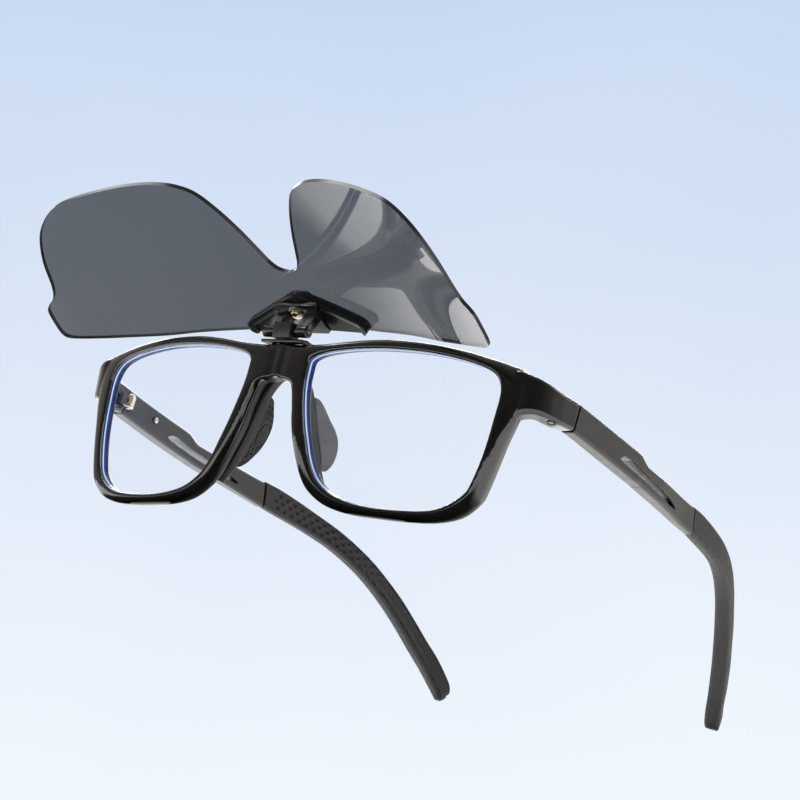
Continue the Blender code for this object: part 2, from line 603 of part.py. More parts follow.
def clip_base():
    base = make("clip_base", *block(leaned, (-BASE_HALF, BASE_HALF), BASE_DEPTH, BASE_Z), STEEL)
    down = stand((0, 0, -1)) - stand((0, 0, 0))
    for side, sign in SIDES:
        x, y = RIVET_AT[0] * sign, RIVET_AT[1]
        top = stand((x, y, BASE_Z[1] + 2.0))
        through = tube(stand((x, y, BASE_Z[0] - 1.0)), top, RIVET_R + 0.1, 20)
        boolean(base, cutter("base_hole_" + side, *through), 'DIFFERENCE')
        socket = tube(stand((x, y, BASE_Z[1] - RIVET_LONG - GAP)), top, RIVET_R + 0.1, 20)
        boolean(front, cutter("bridge_hole_" + side, *socket), 'DIFFERENCE')
        make("base_rivet_" + side,
             *turned(stand((x, y, BASE_Z[1] + 0.1)) - down * RIVET_HEAD, down,
                     [(0, 0.8), (0.2, 1.1), (RIVET_HEAD, 1.1), (RIVET_HEAD, RIVET_R),
                      (RIVET_LONG, RIVET_R)], 20), STEEL, smooth=True)


def detent_block():
    """Block standing on the base between the moving arms."""
    block_z = (BASE_Z[1] + 0.25, PIN_Z + 1.9)
    detent = make("detent_block",
                  *block(leaned, (-DETENT_HALF, DETENT_HALF), (PIN_Y - 2.2, PIN_Y + 1.6), block_z),
                  STEEL)
    bore_for_pin(detent)


def hinge_pin():
    end = CHEEK[1] + 0.15
    make("hinge_pin", *turned(stand((-end - 0.45, PIN_Y, PIN_Z)), (1, 0, 0),
                              [(0, 0.6), (0.2, 1.1), (0.4, 1.1), (0.4, PIN_R),
                               (2 * end + 0.3, PIN_R), (2 * end + 0.6, 0.5)], 28),
         STEEL, smooth=True, origin=PIN_AT)


def hinge_block():
    """Foot under the plate with two arms that reach down to the pin."""
    reach = Vector((0, PIN_Y, PIN_Z)) - CLIP_O
    pin_v, pin_n = reach.dot(H_DIR), reach.dot(N_DIR)
    obj = make("hinge_block", *block(clip_point, (-CHEEK[1], CHEEK[1]),
                                     (FOOT_LOW, PLATE_SCREW_V + 2.2), FOOT_N),
               PLASTIC, origin=PIN_AT)
    for side, sign in SIDES:
        span = sorted((CHEEK[0] * sign, CHEEK[1] * sign))
        arm = block(clip_point, span, (pin_v - 1.1, pin_v + 1.1), (pin_n, FOOT_N[1] - 0.2))
        boolean(obj, cutter("block_arm_" + side, *arm), 'UNION')
        boolean(obj, cutter("block_knuckle_" + side, *pin_tube(*span, KNUCKLE_R)), 'UNION')
    bore_for_pin(obj)
    return obj


# ---- plate and shield -----------------------------------------------------------------------
def edge_at(line, x):
    """Height of an outline at x, by straight lines between its points."""
    for (xa, va), (xb, vb) in zip(line, line[1:]):
        if xa <= x <= xb and xb > xa:
            return va + (vb - va) * (x - xa) / (xb - xa)
    return line[-1][1]


def curved_sheet(outline, n_span, steps):
    """Curved sheet filled column by column, so that it follows the wrap."""
    widest = max(range(len(outline)), key=lambda i: outline[i][0])
    low, high = outline[:widest + 1], outline[widest:][::-1]
    cols = [outline[widest][0] * math.sin(0.5 * math.pi * k / steps) for k in range(steps + 1)]
    span = [-c for c in cols[:0:-1]] + cols
    verts, faces = [], []
    for n in n_span:
        for x in span:
            a, b = edge_at(low, abs(x)), edge_at(high, abs(x))
            if b - a < THIN_END:
                a, b = 0.5 * (a + b - THIN_END), 0.5 * (a + b + THIN_END)
            for v in (a, b):
                verts.append(clip_point(x, v, n - x * x / (2 * SHIELD_R)))
    half = 2 * len(span)
    for q in range(0, half - 2, 2):
        faces += [(q, q + 1, q + 3, q + 2), (half + q, half + q + 2, half + q + 3, half + q + 1),
                  (q, q + 2, half + q + 2, half + q), (q + 1, half + q + 1, half + q + 3, q + 3)]
    for q in (0, half - 2):
        faces.append((q, q + 1, half + q + 1, half + q))
    return verts, faces


def sun_shield():
    outline = [(max(x, 0.0), v) for x, v in spline(SHIELD, SEGS, False)]
    return make("sun_shield", *curved_sheet(outline, (-SHIELD_T / 2, SHIELD_T / 2), 32), TINT,
                smooth=True, origin=PIN_AT)


def chevron_plate():
    return make("chevron_plate", *curved_sheet(CHEVRON, PLATE_N, 16), PLASTIC, origin=PIN_AT)


SCREW_AT = clip_point(0, PLATE_SCREW_V, 0)
SCREW_UP = (clip_point(0, PLATE_SCREW_V, 1) - SCREW_AT).normalized()


def on_screw(name, base_n, profile, mat):
    """Turned piece on the clip screw's axis; base_n is where its profile starts."""
    return make(name, *turned(SCREW_AT + SCREW_UP * base_n, SCREW_UP, profile, 28), mat,
                smooth=True, origin=PIN_AT)


def clip_fixings():
    """Screw, washer and nut; returns the two pieces that the screw passes through."""
    head_n = FOOT_N[0]
    washer = on_screw("clip_washer", head_n - 0.35, [(0, 1.9), (0.3, 1.9)], STEEL)
    nut = on_screw("clip_nut", SHIELD_T / 2 + 0.05, [(0, 1.9), (0.7, 1.9), (0.95, 1.6)], PLASTIC)
    tail = 1.25 - head_n + 1.6
    on_screw("clip_screw", head_n - 1.25,
             [(0, 0.9), (0.2, 1.35), (0.85, 1.4), (0.85, CLIP_SCREW_R), (tail, CLIP_SCREW_R),
              (tail + 0.2, 0.6)], BRASS)
    return washer, nut


clip_base()
detent_block()
hinge_pin()
screwed = [hinge_block(), sun_shield(), chevron_plate(), *clip_fixings()]
for target in screwed:
    hole = tube(SCREW_AT - SCREW_UP * 14, SCREW_AT + SCREW_UP * 12, CLIP_SCREW_R + CLEAR, 24)
    boolean(target, cutter("screw_hole_" + target.name, *hole), 'DIFFERENCE')
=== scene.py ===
"""Looks for the flip-up clip-on sunglasses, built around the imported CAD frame.

Working units are millimetres in the standing frame of the glasses; to_world() turns them into
metres in the shared frame.  The front is drawn upright in its own "face" frame and then leaned,
so the rim, end piece, saddle and pad tables are face coordinates: x to the side, y back, z up."""
import json
import math

import bmesh
import bpy
from mathutils import Matrix, Vector


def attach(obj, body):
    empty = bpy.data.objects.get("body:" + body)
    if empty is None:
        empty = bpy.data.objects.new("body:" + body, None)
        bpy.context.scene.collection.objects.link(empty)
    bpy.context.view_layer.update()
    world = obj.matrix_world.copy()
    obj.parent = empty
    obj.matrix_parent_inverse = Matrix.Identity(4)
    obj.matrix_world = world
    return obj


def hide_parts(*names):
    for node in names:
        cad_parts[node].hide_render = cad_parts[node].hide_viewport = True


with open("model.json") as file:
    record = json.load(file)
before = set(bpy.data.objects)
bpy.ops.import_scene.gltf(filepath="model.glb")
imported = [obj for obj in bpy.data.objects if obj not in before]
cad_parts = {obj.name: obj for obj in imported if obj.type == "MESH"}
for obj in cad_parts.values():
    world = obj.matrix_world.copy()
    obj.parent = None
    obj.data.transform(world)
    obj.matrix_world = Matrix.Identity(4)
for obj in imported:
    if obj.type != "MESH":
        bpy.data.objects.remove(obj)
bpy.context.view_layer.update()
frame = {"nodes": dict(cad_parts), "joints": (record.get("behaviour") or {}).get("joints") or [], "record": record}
MM = 0.001

# ---- driving dimensions (mm, degrees), the same as the CAD part's ----
FRONT_LEAN = 10.0        # the front leans forward by this much when standing
LIFT = 2.21              # raises the leaned front so that the rim bottoms meet the floor
FACE_R, FACE_RV = 215.0, 190.0   # side-to-side and top-to-bottom radius of the front
LIP_Y = -4.1             # front lip of the lens opening at the middle of the face
GROOVE = 0.7             # depth of the lens groove
LENS_T = 1.6
LENS_FRONT = 0.7         # lens front surface behind the lip
LENS_EDGE = 0.35         # the lens reaches this far into its groove
PIN_Y, PIN_Z = -2.1, 41.2        # shield hinge pin in the face frame
RAISE = 33.0             # shield's angle above straight ahead when flipped up
SHIELD_R, SHIELD_T, SHIELD_N = 128.0, 1.1, 43.5
PLATE_T = 2.2
SEAM_Y = 14.8            # where the temple meets the end piece
HINGE_X, BARREL_R = 67.3, 1.35   # temple hinge axis from the middle, and its barrels
BRIDGE_BACK = 1.2        # the bridge is this much deeper than the rims
BRIDGE_REACH = 16.0      # how far from the middle the extra depth fades out
BRIDGE_FRONT, BRIDGE_DEPTH = -0.6, 3.9   # bridge face behind the lip on the middle, and its depth
RIM_BACK = 2.95          # profile points deeper than this gain the bridge's extra depth
RIM_APART = 0.35         # rim points off the middle plane keep this far from it
EDGE_R = 0.7             # rounding of moulded edges
SLANT_Y = (69.0, 74.2)   # the arm's end turns from square to slanted between these
SLANT = (1.4, 1.9)       # how far the end's bottom moves back, and its slant over the height
DOME_FROM, DOME_LIFT, DOME_IN = 3.6, 1.2, 1.1    # rounded end of the tips
GAP = 0.3                # air between two pieces that lie against each other
HOLE_R = 0.95            # holes of the end piece screw and the arm screw
END_SCREW_AT = (70.4, 8.6, 28.8)         # standing frame: from the middle, depth, height
ARM_SCREW_AT = (69.0, 27.6, 33.0)
FRONT_VOXEL, FRONT_PASSES = 0.22, 7      # remesh size and smoothing of the front
ARM_VOXEL, ARM_PASSES = 0.16, 3
MERGE = 1e-6             # metres

# Lens opening and rim outline of the +X half, one row per station: opening x, z, rim x, z.
RIM = [
    (9.3, 34.2, 0.0, 38.0), (9.1, 32.0, 0.0, 33.8), (9.2, 29.5, 0.0, 30.0),
    (9.6, 26.4, 4.6, 28.6), (10.4, 22.9, 6.6, 23.4), (11.3, 19.7, 7.6, 19.0),
    (12.3, 16.7, 8.7, 15.4), (13.5, 13.6, 10.0, 12.2), (14.7, 10.5, 11.5, 8.8),
    (16.3, 7.6, 13.3, 5.4), (18.4, 5.0, 16.0, 2.3), (22.5, 2.3, 20.8, -0.5),
    (27.9, 0.7, 27.2, -2.0), (34.4, -0.1, 34.4, -2.4), (42.0, -0.1, 42.5, -2.5),
    (48.5, 0.5, 50.0, -2.0), (53.0, 2.2, 55.8, -0.2), (56.6, 5.1, 59.7, 3.4),
    (57.9, 7.7, 61.2, 7.2), (59.3, 13.0, 62.6, 13.0), (60.1, 18.2, 63.8, 18.3),
    (60.5, 23.4, 65.2, 23.6), (60.8, 28.6, 66.0, 29.5), (60.2, 31.6, 65.2, 34.9),
    (58.4, 33.9, 61.6, 36.4), (54.6, 35.5, 56.0, 37.7), (49.0, 36.7, 50.0, 38.9),
    (42.0, 37.6, 42.2, 39.9), (35.0, 37.95, 35.0, 40.3), (28.0, 37.9, 28.0, 40.3),
    (21.0, 37.4, 20.6, 39.6), (15.4, 36.6, 13.0, 38.6), (11.4, 35.6, 5.4, 38.0),
]
MID_ROWS = (0, 2)        # first and last row whose rim point lies on the middle plane
RIM_STEPS = 5

# Rim cross-section: share of the way from opening to outer edge, depth behind the lip.
PROFILE = [
    (0.0, 0.1), (0.0, -0.28), (0.03, -0.46), (0.10, -0.60), (0.30, -0.67), (0.62, -0.62),
    (0.84, -0.40), (0.94, -0.08), (1.0, 0.55), (1.0, 1.5), (0.97, 2.4), (0.90, 2.95),
    (0.78, 3.22), (0.55, 3.32), (0.30, 3.3), (0.06, 3.15), (0.0, 2.85), (0.0, 2.5),
    (-1.0, 2.5), (-1.0, 0.5), (0.0, 0.5),
]
FRONT_EDGE, BACK_EDGE = 7, 11    # profile points between these lie on the side

# End piece, face frame: outer x, y, thickness, bottom z of the outer face, top z, and how
# much lower the inner bottom edge is.
ENDPIECE = [
    (61.6, 6.3, 2.4, 23.8, 35.2, 0.6), (64.4, 6.1, 3.0, 24.2, 35.3, 0.9),
    (66.6, 6.7, 3.7, 25.3, 34.7, 1.2), (69.0, 8.4, 4.2, 25.8, 34.0, 1.2),
    (71.0, 10.8, 4.3, 25.5, 33.0, 1.1), (72.2, 14.4, 4.1, 24.7, 31.9, 0.8),
]
END_SECTION = (72.7, 4.0, 29.6, 36.4, 0.3)   # the same at the seam, standing frame, without y

# Temple arm, standing frame: y, outer x, thickness, bottom z, top z.
ARM = [
    (SEAM_Y + 0.3, 72.8, 4.0, 29.3, 36.3), (20.0, 73.1, 4.0, 29.2, 36.1),
    (31.0, 73.5, 4.2, 28.9, 35.8), (41.5, 73.6, 4.2, 28.7, 35.6), (43.0, 73.6, 4.2, 28.7, 35.3),
    (45.4, 73.5, 4.1, 28.7, 34.5), (47.4, 73.4, 4.1, 28.6, 34.2), (55.0, 72.8, 4.0, 28.6, 34.4),
    (62.0, 71.8, 3.5, 28.6, 34.6), (69.0, 70.8, 3.0, 28.5, 34.8), (74.2, 70.3, 2.8, 28.5, 35.0),
]
# Rubber tip path, standing frame: y, outer x, bottom z, thickness, height square to the path.
TIP = [
    (74.6, 70.25, 28.5, 2.9, 6.6), (80.0, 69.6, 28.4, 3.0, 6.9), (87.0, 68.6, 28.4, 3.1, 6.6),
    (94.0, 67.4, 28.3, 3.4, 6.1), (101.0, 65.5, 27.6, 3.7, 5.8), (107.3, 63.4, 26.1, 3.9, 5.6),
    (113.2, 61.1, 23.9, 4.0, 5.5), (118.5, 58.9, 21.1, 4.1, 5.4), (123.8, 56.7, 17.7, 4.2, 5.4),
    (128.6, 54.6, 14.0, 4.2, 5.4), (133.4, 52.5, 10.0, 4.3, 5.4), (137.9, 50.3, 6.2, 4.3, 5.5),
    (141.6, 48.3, 2.5, 4.2, 5.3), (143.6, 47.3, 0.5, 4.0, 4.8), (144.7, 46.7, -0.6, 3.2, 3.9),
    (145.2, 46.3, -1.1, 1.7, 2.4),
]
# Window through the arm: y, z.
SLOT = [(34.0, 31.0), (40.0, 30.6), (61.0, 30.2), (64.0, 30.4), (64.0, 30.9), (60.0, 31.6),
        (46.0, 32.1), (39.0, 32.6), (36.0, 32.3)]

# Shield outline of the +X half: x, height above the shield's own base line.
SHIELD = [
    (0.0, -3.9), (17.0, -3.8), (24.0, -3.4), (34.0, -2.3), (43.0, -1.2), (53.0, 1.3),
    (60.0, 3.6), (64.6, 5.6), (66.1, 7.4), (66.4, 11.0), (66.2, 15.2), (65.2, 16.9),
    (63.4, 18.6), (62.2, 22.0), (61.0, 29.0), (59.0, 35.0), (56.6, 39.0), (52.6, 42.5),
    (47.5, 43.9), (38.0, 44.3), (30.0, 44.0), (23.5, 43.0), (18.9, 41.4), (14.9, 38.6),
    (11.3, 33.0), (8.2, 26.4), (5.8, 20.0), (4.5, 16.6), (2.8, 14.4), (0.0, 13.4),
]

SIDES = (("right", 1.0), ("left", -1.0))
LEAN, TILT = math.radians(FRONT_LEAN), math.radians(RAISE)
H_DIR = Vector((0.0, -math.cos(TILT), math.sin(TILT)))     # up the raised shield
N_DIR = Vector((0.0, math.sin(TILT), math.cos(TILT)))      # out of its convex side
BASE_Y = 6.0
CLIP_O = Vector((0.0, BASE_Y, (SHIELD_N - math.sin(TILT) * BASE_Y) / math.cos(TILT)))


def stand(p):
    """Face frame to standing frame."""
    x, y, z = p
    c, s = math.cos(LEAN), math.sin(LEAN)
    return Vector((x, y * c - z * s, y * s + z * c + LIFT))


PIN = Vector(next(j for j in frame["joints"] if j["name"] == "clip_flip")["pos_m"]) / MM
SHIFT = PIN - stand((0, PIN_Y, PIN_Z))           # from the standing frame to the shared frame


def to_world(p):
    """Standing millimetres to metres in the shared frame."""
    return (Vector(p) + SHIFT) * MM


def clip_point(x, v, n):
    """Shield coordinates (across, up the shield, out of its convex side) to standing."""
    return stand(CLIP_O + Vector((x, 0, 0)) + H_DIR * v + N_DIR * n)


def face_y(x, z, off):
    """Depth of the curved front at x, z; off is measured from its own lip surface."""
    return LIP_Y + x * x / (2 * FACE_R) + (z - 12) ** 2 / (2 * FACE_RV) + off


def placed(name, data):
    """New object in the scene."""
    obj = bpy.data.objects.new(name, data)
    bpy.context.scene.collection.objects.link(obj)
    return obj


# ---- camera ----
CAM_AT = Vector((0.4942, -0.5946, -0.2004))
CAM_AZ, CAM_EL, CAM_ROLL = 40.3, 17.85, 16.6     # looks left of straight back, up, and rolled
cam_data = bpy.data.cameras.new("camera")
cam_data.lens = 144.0
cam_data.sensor_width = 36.0
cam_data.clip_start, cam_data.clip_end = 0.05, 50.0
camera = placed("camera", cam_data)
turn = (Matrix.Rotation(math.radians(CAM_AZ), 4, 'Z')
        @ Matrix.Rotation(math.radians(90 + CAM_EL), 4, 'X')
        @ Matrix.Rotation(math.radians(CAM_ROLL), 4, 'Z'))
camera.matrix_world = Matrix.Translation(CAM_AT) @ turn
bpy.context.scene.camera = camera


# ---- materials ----
def start(name):
    """New node material with its tree, its shader and its object coordinates."""
    mat = bpy.data.materials.new(name)
    mat.use_nodes = True
    tree = mat.node_tree
    shader = tree.nodes["Principled BSDF"]
    coords = tree.nodes.new("ShaderNodeTexCoord")
    return mat, tree, shader, coords.outputs["Object"]


def put(node, values):
    """Sets a node's inputs to plain values."""
    for name, value in values.items():
        node.inputs[name].default_value = value


MOTTLE = (0.3, 0.7)      # range that a noise value mostly stays in


def noise(tree, coords, grain_mm, detail=3.0, stretch=None):
    """Noise with features about grain_mm across, optionally stretched along an axis."""
    if stretch:
        mapping = tree.nodes.new("ShaderNodeMapping")
        mapping.inputs["Scale"].default_value = stretch
        tree.links.new(coords, mapping.inputs["Vector"])
        coords = mapping.outputs["Vector"]
    tex = tree.nodes.new("ShaderNodeTexNoise")
    put(tex, {"Scale": 1.0 / (grain_mm * MM), "Detail": detail})
    tree.links.new(coords, tex.inputs["Vector"])
    return tex.outputs["Fac"]


def ramp(tree, fac, low, high, p0=0.35, p1=0.65):
    """Colour between low and high."""
    node = tree.nodes.new("ShaderNodeValToRGB")
    node.color_ramp.elements[0].position = p0
    node.color_ramp.elements[1].position = p1
    node.color_ramp.elements[0].color = (*low, 1.0)
    node.color_ramp.elements[1].color = (*high, 1.0)
    tree.links.new(fac, node.inputs["Fac"])
    return node.outputs["Color"]


def mapped(tree, value, span, to=(0.0, 1.0)):
    """Value moved from one range to another and kept inside it."""
    node = tree.nodes.new("ShaderNodeMapRange")
    put(node, {"From Min": span[0], "From Max": span[1], "To Min": to[0], "To Max": to[1]})
    tree.links.new(value, node.inputs["Value"])
    return node.outputs["Result"]


def calc(tree, operation, *values):
    """Math node on sockets and plain numbers."""
    node = tree.nodes.new("ShaderNodeMath")
    node.operation = operation
    for value, socket in zip(values, node.inputs):
        if isinstance(value, float):
            socket.default_value = value
        else:
            tree.links.new(value, socket)
    return node.outputs["Value"]


def facing(tree, coords, direction):
    """Dot product of the coordinates with a direction."""
    node = tree.nodes.new("ShaderNodeVectorMath")
    node.operation = 'DOT_PRODUCT'
    node.inputs[1].default_value = direction
    tree.links.new(coords, node.inputs[0])
    return node.outputs["Value"]


def bump(tree, shader, fac, depth_mm):
    node = tree.nodes.new("ShaderNodeBump")
    put(node, {"Strength": 1.0, "Distance": depth_mm * MM})
    tree.links.new(fac, node.inputs["Height"])
    tree.links.new(node.outputs["Normal"], shader.inputs["Normal"])


def surface(name, dark, light, rough, grain=1.2, depth=0.0, metal=0.0, specular=0.5,
            coat=0.0, stretch=None, glow=0.0):
    """Moulded or machined finish: mottled colour, uneven roughness and a fine bump; glow paints light into it, as
    emission in the light colour.
    """
    mat, tree, shader, coords = start(name)
    field = noise(tree, coords, grain, stretch=stretch)
    tree.links.new(ramp(tree, field, dark, light), shader.inputs["Base Color"])
    broad = noise(tree, coords, grain * 6, detail=2.0)
    tree.links.new(mapped(tree, broad, MOTTLE, rough), shader.inputs["Roughness"])
    put(shader, {"Metallic": metal, "Specular IOR Level": specular, "Coat Weight": coat,
                 "Coat Roughness": 0.04})
    if glow:
        put(shader, {"Emission Color": (*light, 1.0), "Emission Strength": glow})
    if depth:
        bump(tree, shader, field, depth)
    return mat


def see_through(name, colour, edge_colour, alpha, rough, specular):
    """Thin clear sheet: alpha grows from alpha[0] face-on to alpha[1] at grazing angles."""
    mat, tree, shader, coords = start(name)
    weight = tree.nodes.new("ShaderNodeLayerWeight")
    weight.inputs["Blend"].default_value = 0.35
    away = weight.outputs["Facing"]
    tree.links.new(mapped(tree, away, (0.0, 1.0), alpha), shader.inputs["Alpha"])
    tree.links.new(ramp(tree, away, colour, edge_colour, 0.2, 0.9), shader.inputs["Base Color"])
    broad = noise(tree, coords, 14.0, detail=1.0)
    tree.links.new(mapped(tree, broad, MOTTLE, rough), shader.inputs["Roughness"])
    shader.inputs["Specular IOR Level"].default_value = specular
    return mat


GLOSS = surface("gloss_black", (0.003, 0.003, 0.003), (0.006, 0.0056, 0.005), (0.04, 0.09),
                grain=2.0, specular=0.5, coat=0.3)
SATIN = surface("satin_grey", (0.014, 0.014, 0.014), (0.024, 0.024, 0.023), (0.3, 0.38),
                grain=0.3, depth=0.003, specular=0.4)
RUBBER = surface("tip_rubber", (0.007, 0.007, 0.007), (0.014, 0.014, 0.014), (0.5, 0.62),
                 grain=0.2, depth=0.008, specular=0.32)
PAD = surface("pad_rubber", (0.030, 0.031, 0.035), (0.048, 0.050, 0.055), (0.35, 0.5),
              grain=0.25, depth=0.006)
PAD_FACE = surface("pad_face", (0.004, 0.004, 0.004), (0.008, 0.008, 0.008), (0.45, 0.6),
                   grain=0.25, depth=0.006, specular=0.2)
SADDLE = surface("saddle_black", (0.005, 0.005, 0.005), (0.01, 0.01, 0.009), (0.34, 0.42),
                 grain=1.0, specular=0.22)
BLACK = surface("clip_black", (0.004, 0.004, 0.004), (0.008, 0.008, 0.008), (0.16, 0.24),
                grain=0.5, depth=0.001)
FLOOR_BLACK = surface("plate_black", (0.006, 0.006, 0.007), (0.010, 0.010, 0.011), (0.2, 0.26),
                      grain=1.5, specular=0.22)
DARK_STEEL = surface("dark_steel", (0.03, 0.031, 0.033), (0.05, 0.051, 0.054), (0.3, 0.4),
                     grain=0.3, depth=0.003, metal=0.6, specular=0.3)
STEEL = surface("steel", (0.1, 0.1, 0.1), (0.17, 0.17, 0.17), (0.26, 0.36), grain=0.3,
                depth=0.003, metal=1.0, stretch=(0.2, 1.0, 1.0))
BRIGHT_STEEL = surface("screw_steel", (0.4, 0.4, 0.4), (0.55, 0.55, 0.54), (0.18, 0.28),
                       grain=0.3, depth=0.003, metal=1.0)
GOLD = surface("hinge_gold", (0.6, 0.52, 0.38), (0.78, 0.7, 0.55), (0.2, 0.3), grain=0.3,
               depth=0.003, metal=1.0, stretch=(1.0, 1.0, 0.2))
BRASS = surface("brass", (0.26, 0.21, 0.13), (0.4, 0.34, 0.22), (0.15, 0.3), grain=0.3,
                depth=0.004, metal=1.0)
CLEAR = see_through("clear_lens", (0.5, 0.6, 0.9), (0.3, 0.4, 0.8), (0.01, 0.06),
                    (0.01, 0.02), 0.4)
TINT = see_through("tinted_shield", (0.018, 0.018, 0.017), (0.024, 0.024, 0.023), (0.58, 0.74),
                   (0.01, 0.02), 0.5)
TINT_EDGE = surface("shield_edge", (0.006, 0.006, 0.006), (0.014, 0.014, 0.014), (0.2, 0.3),
                    grain=1.0, specular=0.2)
# Painted glint bands of the coated lens edge: the white and blue ones glow as painted highlights.
PAINTED_GLINT_WHITE = surface("lens_edge_painted_glint_white", (0.32, 0.5, 0.88), (0.45, 0.64, 1.0), (0.15, 0.25),
                     grain=6.0, glow=0.4)
# Blue painted glint of the lens coating, with a faint glow.
PAINTED_GLINT_BLUE = surface("lens_edge_painted_glint_blue", (0.004, 0.018, 0.14), (0.012, 0.045, 0.27), (0.15, 0.25),
                    grain=6.0, glow=0.05, specular=0.1)
# Navy painted reflection on the lens edge, darker than the glints.
PAINTED_REFLECTION_NAVY = surface("lens_edge_painted_reflection_navy", (0.003, 0.005, 0.03), (0.008, 0.014, 0.09), (0.15, 0.25),
                    grain=6.0, specular=0.1)


# ---- mesh helpers ----
def make(name, verts, faces, mat, body, slot, smooth_angle=38.0):
    """Smooth-shaded piece from standing millimetres, riding on a CAD body."""
    mesh = bpy.data.meshes.new(name)
    mesh.from_pydata([to_world(v) for v in verts], [], faces)
    work = bmesh.new()
    work.from_mesh(mesh)
    bmesh.ops.remove_doubles(work, verts=work.verts, dist=MERGE)
    bmesh.ops.recalc_face_normals(work, faces=work.faces)
    work.to_mesh(mesh)
    work.free()
    obj = placed(name, mesh)
    if mat is not None:
        mesh.materials.append(mat)
    soften(obj, smooth_angle)
    if body:
        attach(obj, body)
    return obj


def soften(obj, angle=38.0):
    """Smooth shading, with edges sharper than the angle kept sharp."""
    mesh = obj.data
    mesh.polygons.foreach_set("use_smooth", [True] * len(mesh.polygons))
    mesh.set_sharp_from_angle(angle=math.radians(angle))


def loft(rings, close=False):
    """Quads between equal rings: capped at both ends, or closed into a loop."""
    n = len(rings[0])
    verts = [v for ring in rings for v in ring]
    faces = []
    last = len(rings) if close else len(rings) - 1
    for i in range(last):
        a, b = i * n, ((i + 1) % len(rings)) * n
        for k in range(n):
            m = (k + 1) % n
            faces.append((a + k, a + m, b + m, b + k))
    if not close:
        faces.append(tuple(range(n)))
        faces.append(tuple(range((len(rings) - 1) * n, len(rings) * n)))
    return verts, faces


def catmull(p0, p1, p2, p3, t):
    return 0.5 * ((2 * p1) + (-p0 + p2) * t + (2 * p0 - 5 * p1 + 4 * p2 - p3) * t * t
                  + (-p0 + 3 * p1 - 3 * p2 + p3) * t ** 3)


def spline(points, steps, closed):
    """Catmull-Rom through tuples of any width."""
    n = len(points)
    out = []
    for i in range(n if closed else n - 1):
        quad = [points[j % n] if closed else points[min(max(j, 0), n - 1)]
                for j in (i - 1, i, i + 1, i + 2)]
        for s in range(steps):
            out.append(tuple(catmull(*[q[k] for q in quad], s / steps)
                             for k in range(len(points[0]))))
    if not closed:
        out.append(tuple(points[-1]))
    return out


def neighbours(table, i):
    return table[max(i - 1, 0)], table[min(i + 1, len(table) - 1)]


def rounded(w, h, r, segs=5):
    """Rounded rectangle from (0, 0) to (w, h), counter-clockwise."""
    pts = []
    for cx, cy, a0 in ((w - r, r, -90), (w - r, h - r, 0), (r, h - r, 90), (r, r, 180)):
        for k in range(segs + 1):
            a = math.radians(a0 + 90 * k / segs)
            pts.append((cx + r * math.cos(a), cy + r * math.sin(a)))
    return pts


def turned(p0, axis, profile, segs):
    """Solid of revolution: profile is (distance along axis, radius)."""
    p0, d = Vector(p0), Vector(axis).normalized()
    u = d.orthogonal().normalized()
    w = d.cross(u)
    turns = [2 * math.pi * k / segs for k in range(segs)]
    return loft([[p0 + d * along + (u * math.cos(a) + w * math.sin(a)) * r for a in turns]
                 for along, r in profile])


def boolean(target, verts, faces, op):
    """Applies a Boolean with a throw-away tool made from the given mesh."""
    tool = make("tool", verts, faces, None, None, None)
    mod = target.modifiers.new("cut", 'BOOLEAN')
    mod.object = tool
    mod.operation = op
    mod.solver = 'EXACT'
    bake(target)
    bpy.data.objects.remove(tool)


def bake(obj):
    """Replaces an object's mesh with its modifiers' result."""
    graph = bpy.context.evaluated_depsgraph_get()
    mesh = bpy.data.meshes.new_from_object(obj.evaluated_get(graph))
    obj.modifiers.clear()
    obj.data = mesh


def blend_edges(obj, voxel_mm, passes):
    """Fuses and rounds a piece: voxel remesh, then a few smoothing passes."""
    remesh = obj.modifiers.new("remesh", 'REMESH')
    remesh.mode = 'VOXEL'
    remesh.voxel_size = voxel_mm * MM
    smooth = obj.modifiers.new("smooth", 'SMOOTH')
    smooth.factor = 0.5
    smooth.iterations = passes
    bake(obj)
    soften(obj, 60.0)


# ---- front frame ----
rows = spline(RIM, RIM_STEPS, True)
mid_first, mid_last = MID_ROWS[0] * RIM_STEPS, MID_ROWS[1] * RIM_STEPS


def front_half(sign):
    """One rim: the profile is carried round the lens opening; the middle plane stays open."""
    verts, faces = [], []
    n = len(PROFILE)
    for i, (ox, oz, qx, qz) in enumerate(rows):
        on_mid = mid_first <= i <= mid_last
        qx = 0.0 if on_mid else max(qx, RIM_APART)
        reach = math.hypot(qx - ox, qz - oz)
        near = max(0.0, 1.0 - abs(0.5 * (ox + qx)) / BRIDGE_REACH)
        for k, (share, off) in enumerate(PROFILE):
            if share < 0:
                share = GROOVE / reach
            if on_mid and FRONT_EDGE <= k <= BACK_EDGE:
                share = 1.0
                off = BRIDGE_FRONT + BRIDGE_DEPTH * (k - FRONT_EDGE) / (BACK_EDGE - FRONT_EDGE)
            if off > RIM_BACK or k == BACK_EDGE:
                off += BRIDGE_BACK * min(1.0, 2 * near) * min(1.0, max(share, 0.0) * 2)
            x = ox + (qx - ox) * share
            z = oz + (qz - oz) * share
            verts.append(stand((x * sign, face_y(x, z, off), z)))
    m = len(rows)
    for i in range(m):
        j = (i + 1) % m
        inner = mid_first <= i < mid_last
        for k in range(n):
            if inner and FRONT_EDGE <= k < BACK_EDGE:
                continue
            k2 = (k + 1) % n
            faces.append((i * n + k, i * n + k2, j * n + k2, j * n + k))
    return verts, faces


def sloped(t, h, drop):
    """Rounded section whose bottom climbs by drop from its inner to its outer edge."""
    return [(u, w + drop * (1 - u / t) * (1 - w / h)) for u, w in rounded(t, h, EDGE_R)]


